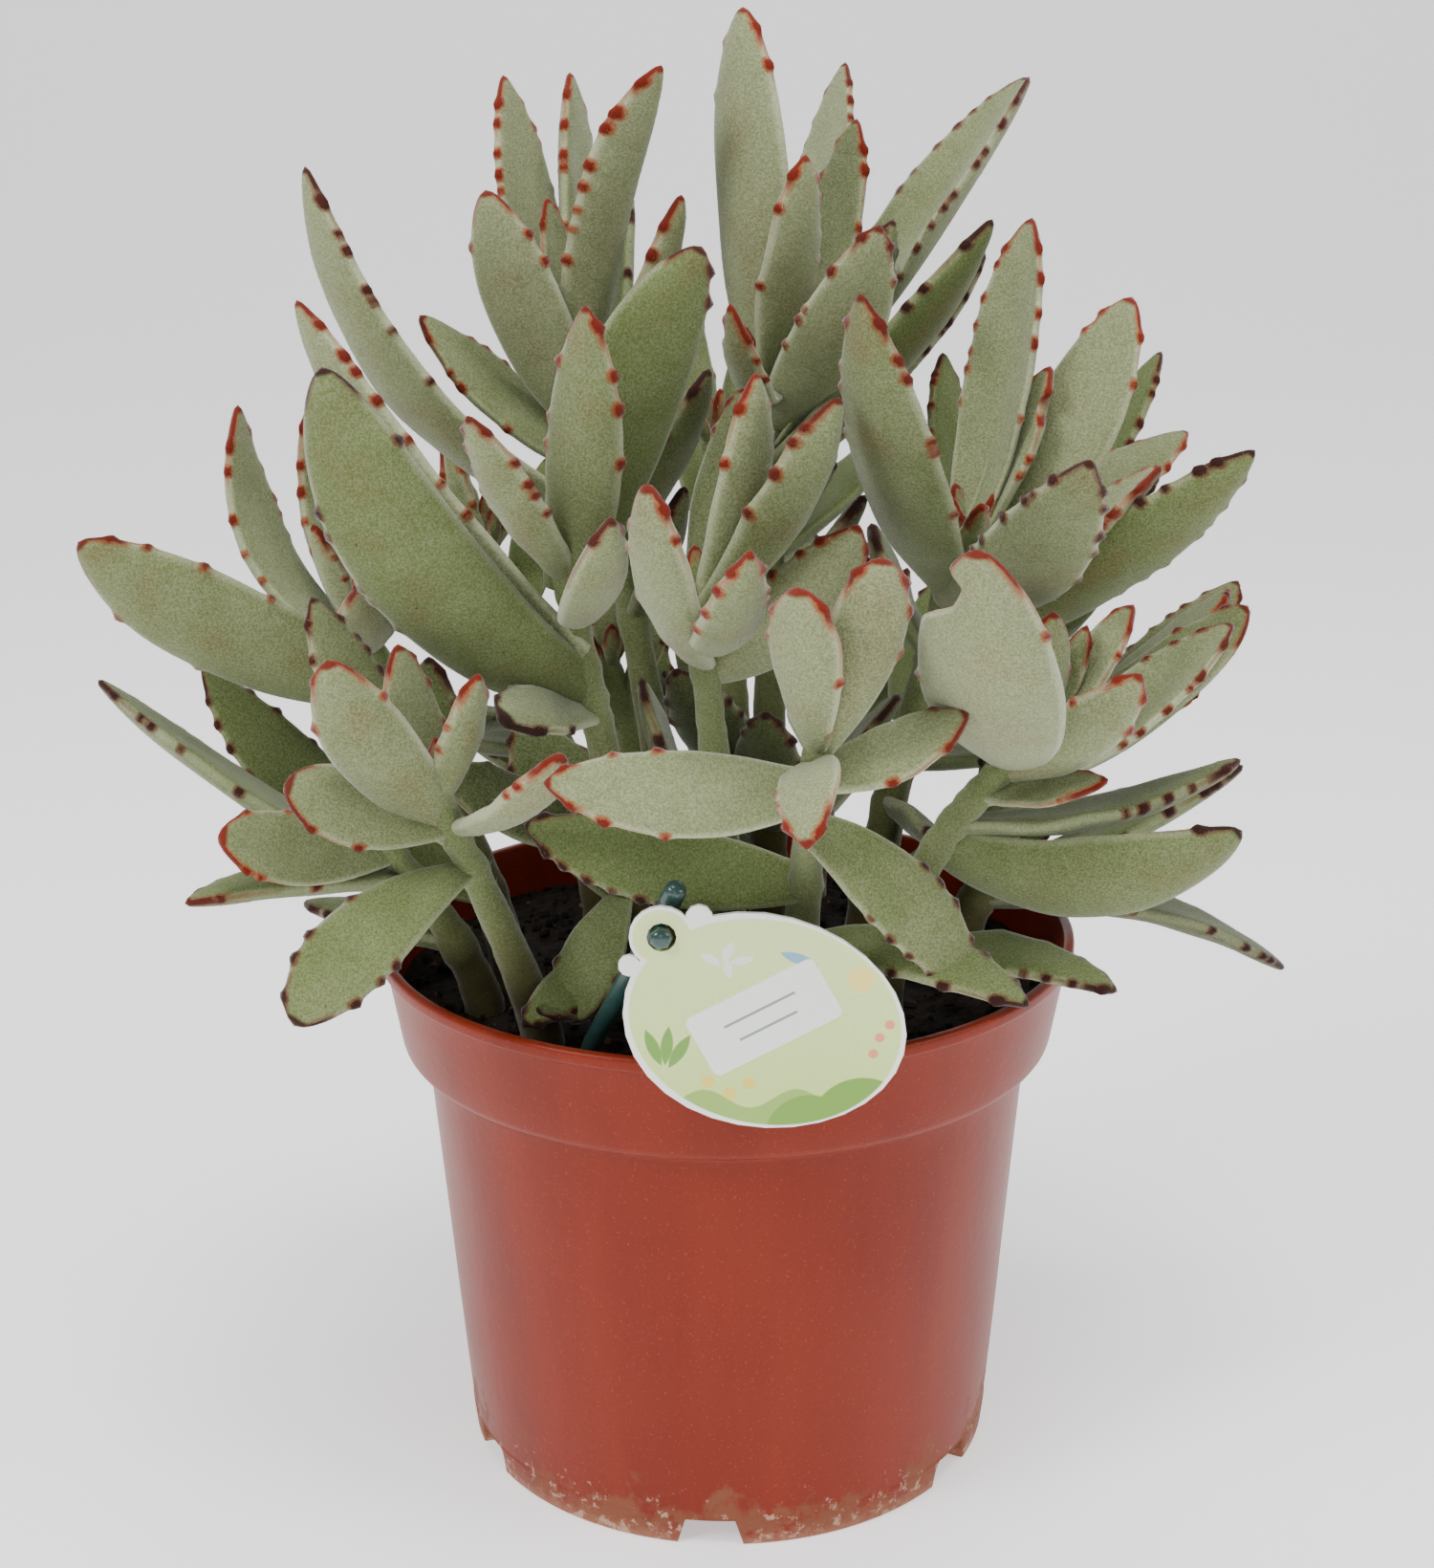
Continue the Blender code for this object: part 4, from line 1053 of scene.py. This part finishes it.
# %% peat surface
GAP = 0.3
PEAT_COLUMNS, PEAT_ROWS = 200, 76
PEAT_LUMPS = ((0.9, 11.0, 21), (0.7, 3.6, 22), (0.45, 1.5, 23))
PEAT_RELIEF, PEAT_SINK = 0.55, 1.4


def peat_height(x, y):
    """Height of the peat's top: three sizes of lumps, sunk a little at the wall."""
    places = np.stack([x, y], -1)
    relief = sum(height * lumps(places, size, seed) for height, size, seed in PEAT_LUMPS)
    sink = PEAT_SINK * np.clip((np.hypot(x, y) - 52) / 10, 0, 1) ** 2
    return SOIL_LEVEL - 0.4 + relief * PEAT_RELIEF - sink


def peat_piece():
    """The block of peat: a lumpy top joined to a plain wall and floor."""
    angles = np.linspace(0, TAU, PEAT_COLUMNS, endpoint=False)
    inset = WALL + GAP
    outer = wall_radius(SOIL_LEVEL) - inset
    top = outer * np.linspace(0, 1, PEAT_ROWS)[1:, None] ** 0.8
    x, y = top * np.cos(angles), top * np.sin(angles)
    surface = np.stack([x, y, peat_height(x, y)], -1)
    wall = np.array([(wall_radius(BAND_BOTTOM + 1.6) - inset, BAND_BOTTOM + 1.6),
                     (STEP_RADIUS - inset, BAND_BOTTOM - STEP_DROP + 0.2),
                     (wall_radius(FLOOR_TOP) - inset, FLOOR_TOP + GAP)])
    centre = float(peat_height(np.zeros(1), np.zeros(1))[0])
    sides, ends = turned(np.vstack([(0, centre), wall, (0, FLOOR_TOP + GAP)]), angles)
    return make_solid("peat_fill", [(np.concatenate([surface, sides]), ends)], turn_over=True)


peat = peat_piece()
print("peat faces:", len(peat.data.polygons))

# %% peat crumbs
CRUMBS, CRUMB_SEED = 1300, 41


def crumb_template():
    """Twelve corners and twenty faces of an icosahedron, from the golden ratio."""
    gold = (1 + math.sqrt(5)) / 2
    corners = np.array([(s, t * gold, 0) for s in (-1, 1) for t in (-1, 1)])
    corners = np.concatenate([corners, corners[:, [2, 0, 1]], corners[:, [1, 2, 0]]])
    gaps = np.linalg.norm(corners[:, None] - corners, axis=-1)
    near = (gaps > 0.1) & (gaps < 2.1)
    faces = np.array([(a, b, c) for a, b, c in itertools.combinations(range(12), 3)
                      if near[a, b] and near[b, c] and near[a, c]])
    first, second, third = corners[faces.T]
    normal = np.cross(second - first, third - first)
    inward = (normal * (first + second + third)).sum(-1) < 0
    faces[inward] = faces[inward][:, ::-1]
    return corners / np.linalg.norm(corners[0]), faces


def crumbs_piece():
    """Loose crumbs: dented icosahedra of many sizes, scattered over the peat's top."""
    dice = np.random.default_rng(CRUMB_SEED)
    corners, faces = crumb_template()
    radius = (wall_radius(SOIL_LEVEL) - WALL - 1.8) * np.sqrt(dice.uniform(size=CRUMBS))
    angle = dice.uniform(0, TAU, CRUMBS)
    x, y = radius * np.cos(angle), radius * np.sin(angle)
    size = 0.35 + 0.95 * dice.uniform(size=CRUMBS) ** 3
    dented = corners * dice.uniform(0.65, 1.25, (CRUMBS, 12, 1))
    shape = dented * dice.uniform(0.6, 1.3, (CRUMBS, 1, 3))
    middle = np.stack([x, y, peat_height(x, y) + size * 0.35], -1)
    points = middle[:, None] + shape * size[:, None, None]
    triangles = faces + 12 * np.arange(CRUMBS)[:, None, None]
    pale = np.repeat(dice.uniform(size=CRUMBS), 12)
    return make_mesh("peat_crumbs", points.reshape(-1, 3), triangles.reshape(-1, 3),
                     values={"pale": pale}, smooth=False)


def peat_material():
    """Nearly black peat with browner lumps and a few straw and white grains."""
    material, wire, place = new_material("peat_fine")
    clods = wire.noise(place, 420, 4, 0.65)
    grain = wire.noise(place, 2400, 3)
    pale = wire.attribute("pale")
    brown = wire.paint(
        (13, 11, 9),
        (clods.ease(0.35, 0.7), (40, 31, 24)),
        (grain.ease(0.6, 0.75) * 0.6, (64, 50, 38)),
        (pale.ease(0.9, 0.93) * 0.8, (120, 88, 56)),
        (pale.ease(0.982, 0.986), (190, 182, 168)))
    return finish(material, wire, base_color=brown, roughness=0.95, specular_ior_level=0.2,
                  normal=wire.bump(clods * 2 + grain, 0.7, 0.0006))


PEAT = peat_material()
dress(peat, PEAT, "peat", "soil")
crumbs = dress(crumbs_piece(), PEAT, "peat")
print("crumb faces:", len(crumbs.data.polygons))

# %% [markdown]
# ## The stake
# A round green plastic rod in the peat, with a knob on top and a faceted peg that
# holds the card. Each is a profile of rings along a line, with rounded ends.

# %% stake surface
STAKE_RADIUS = 1.7
STAKE_FOOT = (-24.0, -44.0)
STAKE_TOP = (-7.8, -63.4, 130.4)
HOLE_AT = (-10.2, 123.4)
CARD_Y = -66.2
PEG_RADIUS = 1.9
PEG_SHARES = np.array([0, 0.3, 0.62, 0.70, 0.88, 0.95, 1.0])
PEG_GIRTHS = np.array([0.8, 0.8, 0.85, 1.0, 1.0, 0.85, 0.5])
KNOB_RADIUS, KNOB_LENGTH, KNOB_START = 2.0, 5.0, -4.0


def rod_surface(path, radii, columns):
    """Rings of given radii at the points of a path, each square to the path there, and its ends."""
    along = unit(np.gradient(path, axis=0))
    side = unit(np.cross(along, np.array((0.31, 0.95, 0.07))))
    deep = np.cross(side, along)
    turn = np.linspace(0, TAU, columns, endpoint=False)[:, None]
    ring = np.cos(turn) * side[:, None] + np.sin(turn) * deep[:, None]
    return path[:, None] + ring * radii[:, None, None], path[[0, -1]]


def stake_piece():
    """Rod, knob and peg as three closed bodies in one piece."""
    knee, top = np.array((*STAKE_FOOT, SOIL_LEVEL + 1.0)), np.array(STAKE_TOP)
    lift = np.array((0, 0, 1.0))
    bend = knee + (top - knee) * 0.08 + lift * 0.6
    share = np.linspace(0, 1, 12)[:, None]
    curve = bow(knee - lift * 3, knee, bend, share)
    straight = bend + (top - bend) * np.linspace(0.1, 1, 16)[:, None]
    path = np.concatenate([(knee - lift * 18)[None], curve, straight])
    knob_share = np.linspace(0, 1, 22)
    knob_path = top + unit(top - bend) * (KNOB_START + knob_share[:, None] * KNOB_LENGTH)
    rounding = np.sqrt(np.clip(1 - np.abs(2 * knob_share - 1) ** 5, 0.05, 1))
    knob_radii = KNOB_RADIUS * rounding * (1 - 0.12 * knob_share)
    back = knee + (top - knee) * ((HOLE_AT[1] - knee[2]) / (top[2] - knee[2]))
    front = np.array((HOLE_AT[0], CARD_Y - 2.0, HOLE_AT[1]))
    peg_path = back + (front - back) * PEG_SHARES[:, None]
    stake = make_solid("tag_stake_fine", [
        rod_surface(path, np.full(len(path), STAKE_RADIUS), 24),
        rod_surface(knob_path, knob_radii, 24),
        rod_surface(peg_path, PEG_RADIUS * PEG_GIRTHS, 7)])
    stake.data.set_sharp_from_angle(angle=math.radians(38))
    return stake


def stake_material():
    """Dark teal-green plastic, glossy, dusted with peat near its foot."""
    material, wire, place = new_material("stake_plastic_fine")
    cloud = wire.noise(place, 220, 3)
    dust = (cloud * 14 + wire.axis(place, 2)).ease(108.0, 96.0)
    green = wire.mix(cloud, (30, 56, 54), (52, 84, 80))
    return finish(material, wire, base_color=wire.mix(dust * 0.6, green, (38, 34, 28)),
                  roughness=0.22 + dust * 0.4 + cloud * 0.08, coat_weight=0.3, coat_roughness=0.15,
                  normal=wire.bump(wire.noise(place, 900, 2), 0.08, 0.0002))


stake = dress(stake_piece(), stake_material(), "stake_plastic", "tag_stake")
print("stake faces:", len(stake.data.polygons))

# %% [markdown]
# ## The tag card
# The card's own CAD solid is right, so it stays and gets a printed finish: a white
# rim, a pale green ground, a blank label and a few plain shapes of my own, all drawn
# by distances in the card's plane.

# %% card material
CARD_MIDDLE = (6.2, 108.6)
CARD_HALF_LENGTH, CARD_HALF_HEIGHT, CARD_LEAN = 23.0, 18.3, -14.0
LABEL_MIDDLE = (6.0, 109.6)
LABEL_HALF = (11.6, 5.6)
LABEL_TURN = 28.0
SPROUT = ((-11.8, 104.5, 112), (-9.6, 104.8, 84), (-7.6, 103.8, 58))
FLOWER = ((-2.4, 119.6, 150), (0.4, 121.0, 60), (2.6, 119.4, 10), (0.3, 118.0, 100))
YELLOW_DOTS = ((-3.0, 98.5), (0.5, 96.4), (3.6, 98.2))
CORAL_DOTS = ((24.6, 106.0), (23.6, 103.2), (26.2, 108.2))


def card_material():
    """Printed card: every shape is a distance in mm from a point, a line or a box."""
    material, wire, place = new_material("card_fine")
    x, z = wire.axis(place, 0), wire.axis(place, 2)

    def turned_axes(middle, degrees):
        """Coordinates along and across a direction from a middle point."""
        c, s = math.cos(math.radians(degrees)), math.sin(math.radians(degrees))
        dx, dz = x - middle[0], z - middle[1]
        return dx * c + dz * s, dz * c - dx * s

    def length(a, b):
        return (a * a + b * b) ** 0.5

    def disc(cx, cz, radius, soft=0.12):
        return length(x - cx, z - cz).ease(radius + soft, radius - soft)

    def blade(cx, cz, degrees, half_length, half_width):
        """A pointed leaf: inside where both of two curves are passed."""
        a, b = turned_axes((cx, cz), degrees)
        rim = (1 - (a / half_length) * (a / half_length)) * half_width - b.absolute()
        return rim.ease(-0.1, 0.12)

    a, b = turned_axes(LABEL_MIDDLE, LABEL_TURN)
    over = [(half.absolute() - (reach - 1.2)).most(0.0) for half, reach in zip((a, b), LABEL_HALF)]
    lines = [((a.absolute() - reach).most((b - row).absolute() - 0.22).ease(0.06, -0.06) * 0.8,
              (64, 112, 84)) for row, reach in ((1.5, 6.4), (-1.6, 5.2))]
    waves = (z - 95.5 + wire.math("SINE", x * 0.42) * 1.6).ease(0.12, -0.12)
    printed = wire.paint(
        (204, 230, 134),
        ((z / 40 - 2.2).ease(0.0, 1.0), (226, 242, 166)),
        (waves, (150, 186, 84)),
        (disc(22.0, 90.5, 8.5).most(disc(13.5, 88.6, 7.4)), (116, 164, 50)),
        (disc(21.5, 116.0, 2.2), (250, 232, 130)),
        *((blade(*spot, 3.4, 1.0), (112, 160, 58)) for spot in SPROUT),
        *((blade(*spot, 1.9, 0.75), (240, 244, 236)) for spot in FLOWER),
        *((disc(*spot, 1.1), (236, 214, 92)) for spot in YELLOW_DOTS),
        *((disc(*spot, 0.8), (236, 150, 110)) for spot in CORAL_DOTS),
        (blade(11.6, 119.6, -20, 3.2, 0.9), (128, 176, 206)),
        (length(*over).ease(1.3, 1.1), (250, 250, 247)),
        *lines)
    along, high = turned_axes(CARD_MIDDLE, CARD_LEAN)
    reach = length(along / CARD_HALF_LENGTH, high / CARD_HALF_HEIGHT)
    lobe = length(x - HOLE_AT[0], z - HOLE_AT[1])
    inside = reach.ease(0.968, 0.952).most(lobe.ease(4.75, 4.45))
    paper = wire.noise(place, 1500, 2)
    dirt = wire.noise(place, 700, 4, 0.7).ease(0.74, 0.78)
    colour = wire.paint((252, 253, 246), (inside, printed),
                        (paper.ease(0.4, 0.8) * 0.08, (150, 150, 130)),
                        (dirt * 0.7, (92, 70, 46)))
    return finish(material, wire, base_color=colour, roughness=0.38, coat_weight=0.2,
                  coat_roughness=0.3, normal=wire.bump(paper, 0.05, 0.0001))


card = frame["nodes"]["tag_card"]
card.material_slots[0].material = card_material()
print("card nodes:", len(card.material_slots[0].material.node_tree.nodes))

# %% [markdown]
# ## Studio
# A pale sweep runs from under the pot far back and up in one soft curve, so that no
# horizon shows, and glows a little as a backlit sheet does. Large soft lamps stand to
# the left, right, above and in front, as in a product photograph.

# %% floor and lights
SWEEP_FRONT, SWEEP_BACK, SWEEP_CURVE, SWEEP_TOP = -4000.0, 1400.0, 900.0, 2200.0
SWEEP_HALF = 3500.0
SWEEP_GREY, SWEEP_GLOW = (243.4452, 243.4452, 243.4452), 0.7
LAMPS = {"left": ((-1.0, -0.7, 1.0), 0.5, 13), "right": ((1.2, -0.4, 0.8), 0.6, 6),
         "top": ((0.1, -0.35, 1.4), 0.7, 17), "front": ((0.1, -1.6, 0.7), 0.7, 3)}
LAMP_TARGET = Vector((0, 0, 0.14))
WORLD_STRENGTH = 0.24


def sweep_piece():
    """A sheet that is flat under the pot and then rises along a quarter circle behind."""
    bend = np.linspace(0, math.pi / 2, 24)
    depth = [SWEEP_FRONT, *(SWEEP_BACK + SWEEP_CURVE * np.sin(bend)), SWEEP_BACK + SWEEP_CURVE]
    height = np.array([0.0, *(SWEEP_CURVE * (1 - np.cos(bend))), SWEEP_TOP])
    sides = np.array([-SWEEP_HALF, SWEEP_HALF])
    grid = np.stack(np.broadcast_arrays(sides, np.array(depth)[:, None], height[:, None]), -1)
    row = 2 * np.arange(len(depth) - 1)[:, None]
    sheet = make_mesh("sweep", grid.reshape(-1, 3), row + np.array([[0, 1, 3, 2]]))
    material, wire, place = new_material("sweep_pale")
    sheet.data.materials.append(finish(material, wire, base_color=SWEEP_GREY, roughness=0.8,
                                       emission_color=SWEEP_GREY, emission_strength=SWEEP_GLOW))


def soft_lamp(name, place, size, watts):
    """A square area lamp that faces the plant."""
    lamp = bpy.data.objects.new(name, bpy.data.lights.new(name, "AREA"))
    lamp.data.shape, lamp.data.size, lamp.data.energy = "SQUARE", size, watts
    lamp.location = place
    lamp.rotation_euler = (LAMP_TARGET - Vector(place)).to_track_quat("-Z", "Y").to_euler()
    bpy.context.scene.collection.objects.link(lamp)


sweep_piece()
for name, (place, size, watts) in LAMPS.items():
    soft_lamp("lamp_" + name, place, size, watts)
world = bpy.data.worlds.new("studio")
world.use_nodes = True
sky = world.node_tree.nodes["Background"].inputs
sky["Color"].default_value = (1, 1, 1, 1)
sky["Strength"].default_value = WORLD_STRENGTH
bpy.context.scene.world = world
print("lamps:", len(LAMPS), "of", sum(watts for _, _, watts in LAMPS.values()), "W")
